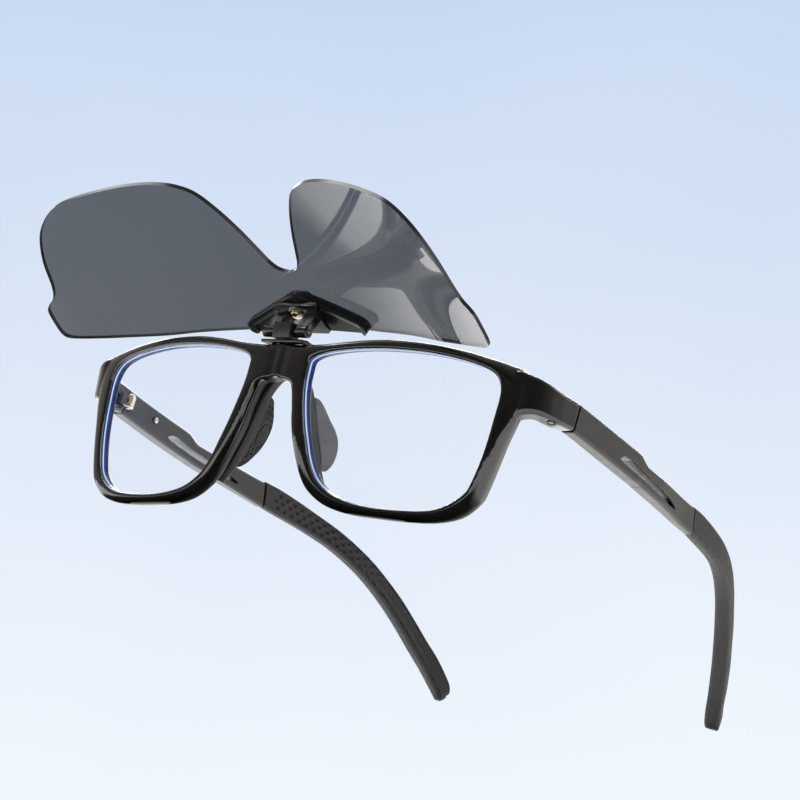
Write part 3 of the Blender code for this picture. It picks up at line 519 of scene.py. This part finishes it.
def endpiece(sign):
    """Solid that wraps from the rim back to the temple seam."""
    rings = []
    table = spline(ENDPIECE, 6, False)
    for i, (x, y, t, z0, z1, drop) in enumerate(table):
        a, b = neighbours(table, i)
        run = Vector((b[0] - a[0], b[1] - a[1], 0)).normalized()
        inward = Vector((-run.y, run.x, 0))
        rings.append([stand(Vector((x, y, z0 - drop)) + inward * u + Vector((0, 0, w)))
                      for u, w in sloped(t, z1 - z0 + drop, drop)])
    x, t, z0, z1, drop = END_SECTION
    rings.append([Vector((x - u, SEAM_Y, z0 - drop + w))
                  for u, w in sloped(t, z1 - z0 + drop, drop)])
    verts, faces = loft(rings)
    return [Vector((v.x * sign, v.y, v.z)) for v in verts], faces


def drop_loose(obj):
    """Removes points without faces and turns the normals outwards."""
    work = bmesh.new()
    work.from_mesh(obj.data)
    bmesh.ops.delete(work, geom=[v for v in work.verts if not v.link_faces], context='VERTS')
    bmesh.ops.recalc_face_normals(work, faces=work.faces)
    work.to_mesh(obj.data)
    work.free()


def front_frame():
    """Both rims and the bridge, with the end pieces fused on and the screw holes cut."""
    right_v, right_f = front_half(1.0)
    left_v, left_f = front_half(-1.0)
    count = len(right_v)
    shell = make("front_shell", right_v + left_v,
                 right_f + [tuple(i + count for i in f) for f in left_f], GLOSS, "front",
                 "gloss_black")
    drop_loose(shell)
    for _, sign in SIDES:
        boolean(shell, *endpiece(sign), 'UNION')
        spot = Vector((END_SCREW_AT[0] * sign, END_SCREW_AT[1], 0))
        hole = turned(spot, (0, 0, 1), [(20.0, HOLE_R), (END_SCREW_AT[2] + 2.4, HOLE_R)], 32)
        boolean(shell, *hole, 'DIFFERENCE')
    blend_edges(shell, FRONT_VOXEL, FRONT_PASSES)
    return shell


NASAL = rows[2 * RIM_STEPS + 2:10 * RIM_STEPS]   # rim stations beside the nose
NASAL_OFF = 1.0          # the groove runs this far behind the lip
NASAL_R = 0.16
WALL_Z = (3.0, 34.3)     # heights between which the nasal wall is satin


def nasal_groove(sign):
    """Cutter of the fine groove that parts the rim's face from its nasal wall."""
    rings = []
    for i, (_, _, qx, qz) in enumerate(NASAL):
        a, b = neighbours(NASAL, i)
        run = Vector((b[2] - a[2], 0, b[3] - a[3])).normalized()
        wall, back = run.cross(Vector((0, 1, 0))), Vector((0, 1, 0))
        thick = NASAL_R * min(1.0, (0.3 + min(i, len(NASAL) - 1 - i)) / 4)
        middle = Vector((qx, face_y(qx, qz, NASAL_OFF), qz))
        ring = [middle + (wall * math.cos(t) + back * math.sin(t)) * thick
                for t in (math.pi * k / 5 for k in range(10))]
        rings.append([stand((v.x * sign, v.y, v.z)) for v in ring])
    return loft(rings)


def on_nasal_wall(poly):
    """Whether a face of the front lies on a nasal wall, behind the groove."""
    c, s = math.cos(LEAN), math.sin(LEAN)
    spot = poly.center / MM - SHIFT
    x, y, z = abs(spot.x), spot.y * c + (spot.z - LIFT) * s, (spot.z - LIFT) * c - spot.y * s
    if not WALL_Z[0] < z < WALL_Z[1] or x > 19.0:
        return False
    if z > NASAL[0][3] and (x > 9.0 or poly.normal.z > 0.2):
        return False
    edge = min(NASAL, key=lambda row: abs(row[3] - z))
    return x < edge[2] + 0.5 and y > face_y(edge[2], edge[3], NASAL_OFF)


front = front_frame()
for side, sign in SIDES:
    boolean(front, *nasal_groove(sign), 'DIFFERENCE')
soften(front, 60.0)
front.data.materials.append(SADDLE)
for poly in front.data.polygons:
    poly.material_index = int(on_nasal_wall(poly))
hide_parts("front_frame")


# ---- lenses ----
def lens(side, sign):
    """Sheet with both faces on the front's curve: shrinking rings of the opening's outline."""
    ring = []
    for ox, oz, qx, qz in rows:
        share = LENS_EDGE / math.hypot(qx - ox, qz - oz)
        ring.append((ox + (qx - ox) * share, oz + (qz - oz) * share))
    n = len(ring)
    cx, cz = (sum(p[k] for p in ring) / n for k in (0, 1))
    verts, faces = [], []
    for off in (LENS_FRONT, LENS_FRONT + LENS_T):
        base = len(verts)
        for f in (1.0 - k / 10 for k in range(10)):
            for x, z in ring:
                px, pz = cx + (x - cx) * f, cz + (z - cz) * f
                verts.append(stand((px * sign, face_y(px, pz, off), pz)))
        verts.append(stand((cx * sign, face_y(cx, cz, off), cz)))
        hub = len(verts) - 1
        for r in range(base, hub, n):
            for k in range(n):
                m = (k + 1) % n
                if r + n < hub:
                    faces.append((r + k, r + m, r + n + m, r + n + k))
                else:
                    faces.append((r + k, r + m, hub))
    half = len(verts) // 2
    for k in range(n):
        m = (k + 1) % n
        faces.append((k, m, half + m, half + k))
    piece = make("lens_sheet_" + side, verts, faces, CLEAR, "front", "clear_lens")
    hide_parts("lens_" + side)


LINE_SINK = 0.12         # the bands reach this far into the rim
# Painted glint and reflection bands: name, from and to behind the lip, inset, material.
PAINTED_EDGE_BANDS = (("painted_glint_white_", 0.72, 1.08, 0.10, PAINTED_GLINT_WHITE), ("painted_glint_blue_", 1.1, 1.8, 0.09, PAINTED_GLINT_BLUE),
         ("painted_reflection_navy_", 1.82, 2.45, 0.08, PAINTED_REFLECTION_NAVY))


def painted_edge_band(name, sign, y0, y1, inset, mat):
    """Thin band just inside the lens opening, from y0 to y1 behind the lip, coloured with the lens edge's painted
    glint (white, blue) and painted dark reflection (navy).
    """
    rings = []
    for ox, oz, qx, qz in rows:
        reach = math.hypot(qx - ox, qz - oz)
        ring = []
        for y, d in ((y0, LINE_SINK), (y1, LINE_SINK), (y1, -inset), (y0, -inset)):
            x = ox + (qx - ox) * d / reach
            z = oz + (qz - oz) * d / reach
            ring.append(stand((x * sign, face_y(x, z, y), z)))
        rings.append(ring)
    make(name, *loft(rings, close=True), mat, "front", "clear_lens", 60.0)


for side, sign in SIDES:
    lens(side, sign)
    for line_name, y0, y1, inset, mat in PAINTED_EDGE_BANDS:
        painted_edge_band(line_name + side, sign, y0, y1, inset, mat)

# ---- nose saddle and pads ----
# Saddle, face frame: x, y, z, width, depth.
SADDLE_PATH = [
    (0.0, 2.6, 32.2, 2.2, 1.9), (3.4, 2.5, 30.8, 2.2, 1.9), (6.2, 2.2, 27.2, 2.5, 2.0),
    (7.9, 1.9, 22.6, 2.8, 2.1), (9.4, 1.75, 18.0, 3.0, 2.1), (11.2, 1.6, 13.2, 3.0, 2.1),
    (13.3, 1.4, 8.6, 2.8, 2.0), (15.6, 1.2, 4.9, 2.2, 1.8),
]
FUSE = 0.9               # the saddle is moulded into the rims' backs by this much
# Rubber pad, level by level: z, inner edge x, y, free edge x, y, thickness.
PAD_LEVELS = [
    (8.7, 13.7, 2.75, 13.6, 4.2, 0.8), (9.1, 13.5, 2.7, 13.4, 5.2, 1.2),
    (10.4, 13.0, 2.7, 13.1, 6.8, 1.4), (12.0, 12.4, 2.75, 12.8, 8.1, 1.5),
    (14.0, 11.5, 2.8, 12.2, 9.3, 1.6), (16.0, 10.7, 2.85, 11.6, 10.0, 1.6),
    (18.0, 9.9, 2.95, 10.9, 10.2, 1.6), (20.0, 9.1, 3.0, 10.0, 9.8, 1.6),
    (22.0, 8.4, 3.1, 9.0, 8.7, 1.5), (24.0, 7.8, 3.2, 8.3, 7.4, 1.4),
    (25.6, 7.3, 3.35, 7.7, 6.3, 1.3), (26.2, 7.2, 3.4, 7.5, 5.5, 1.1),
    (26.5, 7.1, 3.5, 7.4, 4.8, 0.7),
]
# Small dimples on the pad's nasal face: share of the way to the free edge, z.
DOTS = [(0.45, 24.2), (0.7, 24.0), (0.4, 22.9), (0.62, 22.7), (0.82, 22.4), (0.5, 21.5),
        (0.72, 21.2), (0.3, 14.2), (0.5, 13.8), (0.7, 13.9), (0.38, 12.9), (0.6, 12.6),
        (0.45, 11.7)]
DOT_R, DOT_DEEP = 0.38, 0.22
OVAL = (0.62, 17.6, 2.2, 2.9)    # outline on the same face: share, z, half width, half height
OVAL_LINE, OVAL_DEEP = 0.24, 0.2         # half width of that outline, and its depth


def saddle():
    """Arch behind the bridge with its two legs, as one loft."""
    path = spline(SADDLE_PATH, 8, False)
    rings = []
    for sign in (-1, 1):
        order = path[::-1] if sign < 0 else path[1:]
        for i, (x, y, z, w, d) in enumerate(order):
            a, b = neighbours(order, i)
            run = Vector(((b[0] - a[0]) * sign, b[1] - a[1], b[2] - a[2])).normalized()
            if x == 0.0:
                run = Vector((1, 0, 0))
            across = run.cross(Vector((0, 1, 0))).normalized()
            depth = across.cross(run).normalized()
            spot = Vector((x * sign, y - FUSE / 2, z))
            rings.append([stand(spot + across * (u - w / 2) + depth * (v - (d + FUSE) / 2))
                          for u, v in rounded(w, d + FUSE, 0.4)])
    piece = make("nose_bridge", *loft(rings), SADDLE, "front", "saddle_black")
    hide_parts("nose_saddle")


def dent(share, across_mm, z):
    """Depth of the pad's nasal face below its plain surface."""
    depth = 0.0
    for dot_share, dot_z in DOTS:
        away = math.hypot((share - dot_share) * across_mm, z - dot_z)
        depth = max(depth, DOT_DEEP * max(0.0, 1.0 - (away / DOT_R) ** 2))
    at_share, at_z, half_w, half_h = OVAL
    ring = math.hypot((share - at_share) * across_mm / half_w, (z - at_z) / half_h)
    line = 1.0 - (abs(ring - 1.0) * half_w / OVAL_LINE) ** 2
    return max(depth, OVAL_DEEP * max(0.0, line))


def fine_section(length, t):
    """Rounded section whose two long sides are split finely enough for the dimples."""
    corner = 0.4 * t
    plain = rounded(length, t, corner, 4)
    section = []
    for (u, w), (u2, w2) in zip(plain, plain[1:] + plain[:1]):
        far = math.hypot(u2 - u, w2 - w) > 0.6 * (length - 2 * corner)
        pieces = 44 if far and abs(u2 - u) > 0.5 else 1
        section += [(u + (u2 - u) * k / pieces, w + (w2 - w) * k / pieces)
                    for k in range(pieces)]
    return section


def nose_pad(side, sign):
    """Leaf on the back of a saddle leg, with dimples and an oval on its nasal face."""
    rings = []
    for z, x0, y0, x1, y1, t in spline(PAD_LEVELS, 12, False):
        reach = Vector((x1 - x0, y1 - y0, 0))
        out = reach.normalized()
        across = Vector((out.y, -out.x, 0))
        ring = []
        for u, w in fine_section(reach.length, t):
            if w > t - 1e-4:
                w -= dent(u / reach.length, reach.length, z)
            p = Vector((x0, y0, z)) + out * u + across * (t / 2 - w)
            ring.append(stand((p.x * sign, p.y, p.z)))
        rings.append(ring)
    piece = make("pad_" + side, *loft(rings), PAD, "front", "pad_rubber", 50.0)
    piece.data.materials.append(PAD_FACE)
    for poly in piece.data.polygons:
        if poly.normal.x * sign < -0.3:
            poly.material_index = 1
    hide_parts("nose_pad_" + side)


saddle()
for side, sign in SIDES:
    nose_pad(side, sign)


# ---- temples ----
CORE = ((72.5, 69.95, 29.3), (78.0, 69.45, 29.2))    # the core's two ends: y, outer x, bottom z
CORE_SECTION = (1.8, 5.0, 0.5)           # width, height, corner radius
FLOOR_CLEAR = 0.02       # the tips' resting flats are this far above the floor
TIP_STEPS = 30
DIMPLE_PITCH = 2.9
DIMPLE_ROWS = (0.26, 0.5, 0.74)          # shares of the tip's height
DIMPLE_R, DIMPLE_DEEP = 0.78, 0.55
DIMPLE_SPAN = (78.5, 120.0)              # the rows fade out towards the second end
DIMPLE_FADE = 15.0
CHANNEL_DEEP, CHANNEL_HALF = 0.35, 0.22  # shallow channel past the dimples: half height as a share
CHANNEL_END, CHANNEL_FADE = 139.0, 8.0


def temple_arm(side, sign):
    """Arm with a slanted rear end, a long window and a screw hole on its inner face."""
    rings = []
    for y, x, t, z0, z1 in spline(ARM, 6, False):
        slant = max(0.0, (y - SLANT_Y[0]) / (SLANT_Y[1] - SLANT_Y[0]))
        rings.append([Vector(((x - u) * sign, y + slant * (SLANT[0] - SLANT[1] * w / (z1 - z0)),
                              z0 + w)) for u, w in rounded(t, z1 - z0, EDGE_R)])
    arm = make("arm_" + side, *loft(rings), SATIN, "temple_" + side, "satin_grey")
    window = loft([[Vector((x * sign, y, z)) for y, z in SLOT] for x in (60.0, 80.0)])
    boolean(arm, *window, 'DIFFERENCE')
    spot = Vector((ARM_SCREW_AT[0] * sign, *ARM_SCREW_AT[1:]))
    boolean(arm, *turned(spot, (sign, 0, 0), [(-3.0, HOLE_R), (1.6, HOLE_R)], 32), 'DIFFERENCE')
    blend_edges(arm, ARM_VOXEL, ARM_PASSES)
    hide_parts("temple_arm_" + side)


def core(side, sign):
    """Flat core inside arm and tip, which closes the seam between them."""
    rings = [[Vector(((x - u) * sign, y, z + w)) for u, w in rounded(*CORE_SECTION)]
             for y, x, z in CORE]
    make("core_" + side, *loft(rings), SADDLE, "temple_" + side, "saddle_black")


def dimple(y, along, share, h):
    """Depth of the tip's inner face at a length along it and a share of its height h."""
    fade = min(1.0, max(0.0, (DIMPLE_SPAN[1] - y) / DIMPLE_FADE))
    channel = CHANNEL_DEEP * (1.0 - fade) * min(1.0, max(0.0, (CHANNEL_END - y) / CHANNEL_FADE))
    dip = 0.0
    for r, row in enumerate(DIMPLE_ROWS):
        shifted = along - (r % 2) * DIMPLE_PITCH / 2
        off = shifted - DIMPLE_PITCH * round(shifted / DIMPLE_PITCH)
        d = math.hypot(off, (share - row) * h)
        if d < DIMPLE_R and y > DIMPLE_SPAN[0]:
            dip = fade * DIMPLE_DEEP * math.cos(0.5 * math.pi * d / DIMPLE_R) ** 0.7
    return dip + channel * max(0.0, 1 - ((share - 0.5) / CHANNEL_HALF) ** 2)


def tip(side, sign):
    """Rubber tip: slanted at the front, domed behind, with staggered dimples on its inner face."""
    table = spline(TIP, TIP_STEPS, False)
    rings = []
    travelled = 0.0
    last = None
    for i, (y, x, z, t, h) in enumerate(table):
        a, b = neighbours(table, i)
        run = Vector((b[1] - a[1], b[0] - a[0], b[2] - a[2])).normalized()
        up = (Vector((0, 0, 1)) - run * run.z).normalized()
        inward = run.cross(up)
        if inward.x > 0:
            inward = -inward
        here = Vector((x, y, z))
        travelled += (here - last).length if last else 0.0
        last = here
        slant = max(0.0, 1 - i / (1.5 * TIP_STEPS))
        full = min(1.0, min(t, h) / DOME_FROM)
        spot = here + up * (1 - full) * DOME_LIFT + inward * (1 - full) * DOME_IN
        section = rounded(t, h, min(1.1, t * 0.3), 5)
        wall = [(t, h * (0.12 + 0.76 * k / 25)) for k in range(26)]
        ring = []
        for u, w in section[:6] + wall + section[6:]:
            dip = dimple(y, travelled, w / h, h) if u > t - 0.01 else 0.0
            p = spot + inward * (u - dip) + up * w
            p.y += slant * (1.6 - SLANT[1] * w / h)
            ring.append(Vector((p.x * sign, p.y, max(p.z, FLOOR_CLEAR))))
        rings.append(ring)
    piece = make("tip_" + side, *loft(rings), RUBBER, "temple_" + side, "tip_rubber", 60.0)
    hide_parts("temple_tip_" + side)


for side, sign in SIDES:
    temple_arm(side, sign)
    tip(side, sign)
    core(side, sign)


# ---- sun shield ----
def edge_at(line, x):
    """Height of an outline at x, by straight lines between its points."""
    for (xa, va), (xb, vb) in zip(line, line[1:]):
        if xa <= x <= xb and xb > xa:
            return va + (vb - va) * (x - xa) / (xb - xa)
    return line[-1][1]


def halves(outline):
    """Lower and upper part of a half outline, both from the middle outwards."""
    widest = max(range(len(outline)), key=lambda i: outline[i][0])
    return outline[:widest + 1], outline[widest:][::-1]


def curved_sheet(outline, n_span, rows_v):
    """Curved sheet filled column by column, so that it follows the wrap."""
    low, high = halves(outline)
    cols = [0.0]
    for x in sorted(p[0] for p in outline):
        while x - cols[-1] > 1.5:
            cols.append(cols[-1] + 1.0)
        if x - cols[-1] > 0.02:
            cols.append(x)
    span = [-c for c in cols[:0:-1]] + cols
    verts, faces = [], []
    for n in n_span:
        for x in span:
            a, b = edge_at(low, abs(x)), edge_at(high, abs(x))
            for r in range(rows_v + 1):
                verts.append(clip_point(x, a + (b - a) * r / rows_v, n - x * x / (2 * SHIELD_R)))
    rn = rows_v + 1
    half = len(span) * rn
    for c in range(len(span) - 1):
        for q in range(c * rn, c * rn + rows_v):
            faces.append((q, q + 1, q + rn + 1, q + rn))
            faces.append((half + q, half + q + rn, half + q + rn + 1, half + q + 1))
        for q in (c * rn, c * rn + rows_v):
            faces.append((q, q + rn, half + q + rn, half + q))
    for end in (0, (len(span) - 1) * rn):
        for q in range(end, end + rows_v):
            faces.append((q, q + 1, half + q + 1, half + q))
    return verts, faces


def shield():
    """Tinted sheet whose narrow edges are opaque."""
    outline = [(max(x, 0.0), v) for x, v in spline(SHIELD, 6, False)]
    sheet = curved_sheet(outline, (-SHIELD_T / 2, SHIELD_T / 2), 6)
    piece = make("shield_sheet", *sheet, TINT, "clip", "tinted_shield")
    piece.data.materials.append(TINT_EDGE)
    across = (clip_point(0, 0, 1) - clip_point(0, 0, 0)).normalized()
    for poly in piece.data.polygons:
        if abs(poly.normal.dot(across)) < 0.6:
            poly.material_index = 1
    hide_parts("sun_shield")


shield()

# ---- chevron plate: recessed floor, raised wall round its two upper edges, two ribs ----
CHEVRON = [(0.0, -3.6), (11.0, -3.6), (17.0, -3.4), (18.2, -2.4), (18.6, -1.4), (18.3, 0.0),
           (17.2, 0.9), (2.0, 7.9), (0.0, 8.3)]
PLATE_N = (-SHIELD_T / 2 - GAP - PLATE_T, -SHIELD_T / 2 - GAP)   # plate faces, from the shield
PLATE_SCREW_V = 4.3      # clip screw's height on the plate
RECESS = 0.8             # depth of the floor below the wall's top
WALL_LEAN = 0.908        # cosine of the upper edges' slope
# Wall section from the upper edge inwards: distance square to the edge, depth of its top.
WALL = [(0.0, 0.5), (0.12, 0.2), (0.3, 0.06), (0.6, 0.0), (1.6, 0.0), (1.78, 0.05),
        (1.9, 0.2), (1.95, RECESS)]
PLATE_END = 16.5         # the wall closes the plate's ends from here outwards
PLATE_COLS = (0.0, 0.7, 1.4, 2.2, 4.0, 6.0, 8.0, 10.0, 12.0, 14.0, 15.5, PLATE_END - 0.05,
              PLATE_END, PLATE_END + 0.5, 17.5, 18.0, 18.3, 18.5)
END_LIP = 0.5            # only this much of the wall's rounded edge runs on round the ends
END_FROM, END_DROP = 18.0, 0.4   # past the first, the closed end falls by the second per mm
RIB_X, RIB_V, RIB_DEPTH = (2.6, 5.8), (4.1, 4.35), (0.45, 1.0)


def plate_ring(x, low, high):
    """Section of the plate at x, as points up the plate and out of it."""
    a, b = edge_at(low, abs(x)), edge_at(high, abs(x))
    closed = abs(x) >= PLATE_END
    drop = END_DROP * max(0.0, abs(x) - END_FROM)
    ring = []
    for d, depth in WALL:
        if closed and d > END_LIP:
            depth = drop
        ring.append((max(b - d / WALL_LEAN, a + 0.3 + 0.01 * (2 - d)), PLATE_N[0] + depth))
    foot = PLATE_N[0] + (0.0 if closed else RECESS)
    return ring + [(a + 0.2, foot + drop), (a, foot + 0.2), (a, PLATE_N[1]), (b, PLATE_N[1])]


def plate():
    """Plate with its two short ribs beside the screw."""
    low, high = halves(CHEVRON)
    span = [-c for c in PLATE_COLS[:0:-1]] + list(PLATE_COLS)
    parts = [loft([[clip_point(x, v, n - x * x / (2 * SHIELD_R))
                    for v, n in plate_ring(x, low, high)] for x in span])]
    v0, v1 = RIB_V
    n0, n1 = (PLATE_N[0] + depth for depth in RIB_DEPTH)
    for sign in (-1, 1):
        parts.append(loft([[clip_point(x, v, n) for v, n in ((v0, n0), (v1, n0), (v1, n1), (v0, n1))]
                           for x in sorted(edge * sign for edge in RIB_X)]))
    verts, faces = [], []
    for part_v, part_f in parts:
        base = len(verts)
        verts += part_v
        faces += [tuple(base + k for k in f) for f in part_f]
    piece = make("chevron", verts, faces, FLOOR_BLACK, "clip", "black_plastic", 30.0)
    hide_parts("chevron_plate")


plate()

# ---- clip screw with a domed, cross-cut head ----
SCREW_AT = clip_point(0, PLATE_SCREW_V, 0)
SCREW_UP = (clip_point(0, PLATE_SCREW_V, 1) - SCREW_AT).normalized()
FOOT_N = PLATE_N[0] - 1.5        # lower face of the hinge block's foot, from the shield
HEAD_H = 1.25            # the screw's head stands this far out of that face
HEAD = [(0.0, 0.02), (0.03, 0.35), (0.12, 0.65), (0.3, 0.92), (0.55, 1.08), (0.9, 1.12)]
CLIP_SCREW_R = 0.8
CROSS_HALF = (0.85, 0.14)        # half length and half width of the cross recess
CROSS_DEEP = 0.45


def clip_screw():
    """Turned screw with a cross cut into its head."""
    foot = SCREW_AT + SCREW_UP * (FOOT_N - HEAD_H)
    tail = HEAD_H - FOOT_N + 1.6
    shank = [(HEAD[-1][0], CLIP_SCREW_R), (tail, CLIP_SCREW_R), (tail + 0.2, 0.6)]
    piece = make("screw", *turned(foot, SCREW_UP, HEAD + shank, 48), BRASS, "clip", "brass")
    across = Vector((1, 0, 0))
    along = SCREW_UP.cross(across)
    for a, b in ((across, along), (along, across)):
        a, b = a * CROSS_HALF[0], b * CROSS_HALF[1]
        cross = loft([[foot + SCREW_UP * n + c for c in (a + b, a - b, -a - b, -a + b)]
                      for n in (-0.5, CROSS_DEEP)])
        boolean(piece, *cross, 'DIFFERENCE')
    soften(piece, 35.0)
    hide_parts("clip_screw")


clip_screw()


# ---- machined pieces: the CAD solids with eased edges ----
LEAF_PLATE = 1.15        # a hinge leaf's plate starts at this many barrel radii from the pivot


def eased(node_name, width_mm, mat, slot, plate_mat=None):
    """Copy of a CAD node with bevelled edges, which stands for it; the plate of a hinge leaf
    away from its pivot may have a material of its own."""
    node = frame["nodes"][node_name]
    mesh = node.data.copy()
    mesh.materials.clear()
    mesh.materials.append(mat)
    work = bmesh.new()
    work.from_mesh(mesh)
    bmesh.ops.remove_doubles(work, verts=work.verts, dist=MERGE)
    bmesh.ops.dissolve_limit(work, angle_limit=math.radians(1.0), verts=work.verts,
                             edges=work.edges)
    work.to_mesh(mesh)
    work.free()
    obj = placed("eased_" + node_name, mesh)
    mod = obj.modifiers.new("ease", 'BEVEL')
    mod.width = width_mm * MM
    mod.segments = 2
    mod.limit_method = 'ANGLE'
    mod.angle_limit = math.radians(40.0)
    bake(obj)
    soften(obj)
    if plate_mat is not None:
        obj.data.materials.append(plate_mat)
        for poly in obj.data.polygons:
            pivot = to_world((math.copysign(HINGE_X, poly.center.x), SEAM_Y, 0))
            if (poly.center - pivot).xy.length > BARREL_R * LEAF_PLATE * MM:
                poly.material_index = 1
    body = next(b for b, names in frame["record"]["behaviour"]["bodies"].items()
                if node_name in names)
    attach(obj, body)
    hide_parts(node_name)


EASED = [
    ("hinge_block", 0.22, BLACK, "black_plastic"), ("clip_nut", 0.15, BLACK, "black_plastic"),
    ("clip_base", 0.15, BLACK, "steel"), ("detent_block", 0.25, DARK_STEEL, "steel"),
    ("clip_washer", 0.06, GOLD, "steel"), ("hinge_pin", 0.06, STEEL, "steel"),
    ("base_rivet_right", 0.08, BLACK, "steel"), ("base_rivet_left", 0.08, BLACK, "steel"),
]
for side, sign in SIDES:
    EASED += [("front_hinge_leaf_" + side, 0.08, GOLD, "hinge_gold", DARK_STEEL),
              ("temple_hinge_leaf_" + side, 0.08, GOLD, "hinge_gold", DARK_STEEL),
              ("hinge_screw_" + side, 0.06, BRIGHT_STEEL, "steel"),
              ("endpiece_screw_" + side, 0.06, BLACK, "steel"),
              ("arm_screw_" + side, 0.08, BRIGHT_STEEL, "steel")]
for entry in EASED:
    eased(*entry)

# ---- studio ----
SKY_HIGH, SKY_LOW = (0.57, 0.69, 0.88), (0.88, 0.93, 0.99)
SKY_SPAN = (-0.15, 0.10)         # the sky turns from low to high over this much of the view
CLOUDS = -0.06                   # faint cloud noise added to it
WARM = (1.0, 0.96, 0.9)
FLOOR_R = 2.5
# In reflections the paper is dim in a strip under the rims, and bright past these depths.
DIM_BACK, DIM_FRONT, DIM_SIDE = (-0.046, -0.010), (-0.11, -0.16), (0.062, 0.075)
DIM_PAPER = (0.06, 0.06, 0.06, 1.0)
FLOOR_GLOW = 1.1         # the paper is this bright in reflections, like an overexposed sweep
HORIZON_GLOW = 1.6
STUDIO_LIGHT = (0.10, 1.0)       # surroundings in reflections: front and below, back and above
STUDIO_TOP, STUDIO_SPAN = (-0.1, 0.6, 0.79), (-0.5, 0.9)
# Bright band at the height of the horizon, to the back right: direction, where it fades in.
BAND = (((0, 0, 1), (0.26, 0.08)), ((0.7, 0.7, 0), (0.75, 0.92)))


def mix_shaders(tree, fac, first, second, output):
    mix = tree.nodes.new("ShaderNodeMixShader")
    tree.links.new(fac, mix.inputs["Fac"])
    tree.links.new(first, mix.inputs[1])
    tree.links.new(second, mix.inputs[2])
    tree.links.new(mix.outputs["Shader"], tree.nodes[output].inputs["Surface"])


def floor():
    """Round sheet of pale paper, clear from below, with its own brightness in reflections."""
    mesh = bpy.data.meshes.new("floor")
    ring = [(FLOOR_R * math.cos(2 * math.pi * k / 96), FLOOR_R * math.sin(2 * math.pi * k / 96), 0)
            for k in range(96)]
    mesh.from_pydata(ring, [], [tuple(range(96))])
    obj = placed("floor", mesh)
    mat, tree, shader, coords = start("floor_paper")
    grain = noise(tree, coords, 8.0)
    in_mirror = tree.nodes.new("ShaderNodeLightPath").outputs["Is Glossy Ray"]
    split = tree.nodes.new("ShaderNodeSeparateXYZ")
    tree.links.new(coords, split.inputs["Vector"])
    aside = calc(tree, 'ABSOLUTE', split.outputs["X"])
    bright = calc(tree, 'MAXIMUM', mapped(tree, split.outputs["Y"], DIM_BACK),
                  mapped(tree, split.outputs["Y"], DIM_FRONT))
    bright = calc(tree, 'MAXIMUM', mapped(tree, aside, DIM_SIDE), bright)
    dim = calc(tree, 'MULTIPLY', calc(tree, 'SUBTRACT', 1.0, bright), in_mirror)
    paper = tree.nodes.new("ShaderNodeMix")
    paper.data_type = 'RGBA'
    tree.links.new(dim, paper.inputs["Factor"])
    tree.links.new(ramp(tree, grain, (0.80, 0.84, 0.89), (0.82, 0.86, 0.91)), paper.inputs["A"])
    paper.inputs["B"].default_value = DIM_PAPER
    tree.links.new(paper.outputs["Result"], shader.inputs["Base Color"])
    put(shader, {"Roughness": 0.8, "Specular IOR Level": 0.1, "Emission Color": (*WARM, 1.0)})
    glow = mapped(tree, calc(tree, 'MULTIPLY', bright, in_mirror), (0.0, 1.0), (0.0, FLOOR_GLOW))
    tree.links.new(glow, shader.inputs["Emission Strength"])
    below = tree.nodes.new("ShaderNodeNewGeometry").outputs["Backfacing"]
    clear = tree.nodes.new("ShaderNodeBsdfTransparent")
    mix_shaders(tree, below, shader.outputs["BSDF"], clear.outputs["BSDF"], "Material Output")
    mesh.materials.append(mat)


def sky():
    """Pale sky to the camera, and a plain studio in reflections."""
    world = bpy.data.worlds.new("studio")
    bpy.context.scene.world = world
    world.use_nodes = True
    tree = world.node_tree
    coords = tree.nodes.new("ShaderNodeTexCoord").outputs["Generated"]
    cloud = tree.nodes.new("ShaderNodeTexNoise")
    put(cloud, {"Scale": 9.0, "Detail": 4.0})
    tree.links.new(coords, cloud.inputs["Vector"])
    upwards = facing(tree, coords, camera.matrix_world.to_3x3() @ Vector((0, 1, 0)))
    lift = calc(tree, 'MULTIPLY_ADD', cloud.outputs["Fac"], CLOUDS, upwards)
    back = tree.nodes["Background"]
    tree.links.new(ramp(tree, mapped(tree, lift, SKY_SPAN), SKY_LOW, SKY_HIGH, 0.0, 1.0),
                   back.inputs["Color"])
    level = mapped(tree, facing(tree, coords, STUDIO_TOP), STUDIO_SPAN, STUDIO_LIGHT)
    band = calc(tree, 'MULTIPLY', *(mapped(tree, facing(tree, coords, direction), span)
                                    for direction, span in BAND))
    studio = tree.nodes.new("ShaderNodeBackground")
    studio.inputs["Color"].default_value = (*WARM, 1.0)
    tree.links.new(calc(tree, 'MULTIPLY_ADD', band, HORIZON_GLOW, level),
                   studio.inputs["Strength"])
    seen = tree.nodes.new("ShaderNodeLightPath").outputs["Is Camera Ray"]
    mix_shaders(tree, seen, studio.outputs["Background"], back.outputs["Background"],
                "World Output")


LIT_AT = Vector((0, 0, 0.02))    # the lights point here, metres


def softbox(name, place, size, power):
    """Rectangular area light at a place in metres."""
    data = bpy.data.lights.new(name, 'AREA')
    data.shape = 'RECTANGLE'
    data.size, data.size_y = size
    data.energy = power
    lamp = placed(name, data)
    aim = (LIT_AT - Vector(place)).to_track_quat('-Z', 'Y')
    lamp.matrix_world = Matrix.Translation(place) @ aim.to_matrix().to_4x4()


floor()
sky()
softbox("key", (-0.7, -0.5, 1.0), (0.7, 0.5), 9.0)
softbox("fill", (1.1, 0.5, 0.9), (0.9, 0.6), 5.0)
softbox("rim", (-0.75, 0.75, 0.7), (0.9, 0.25), 7.0)
bpy.context.scene.view_settings.view_transform = 'Standard'
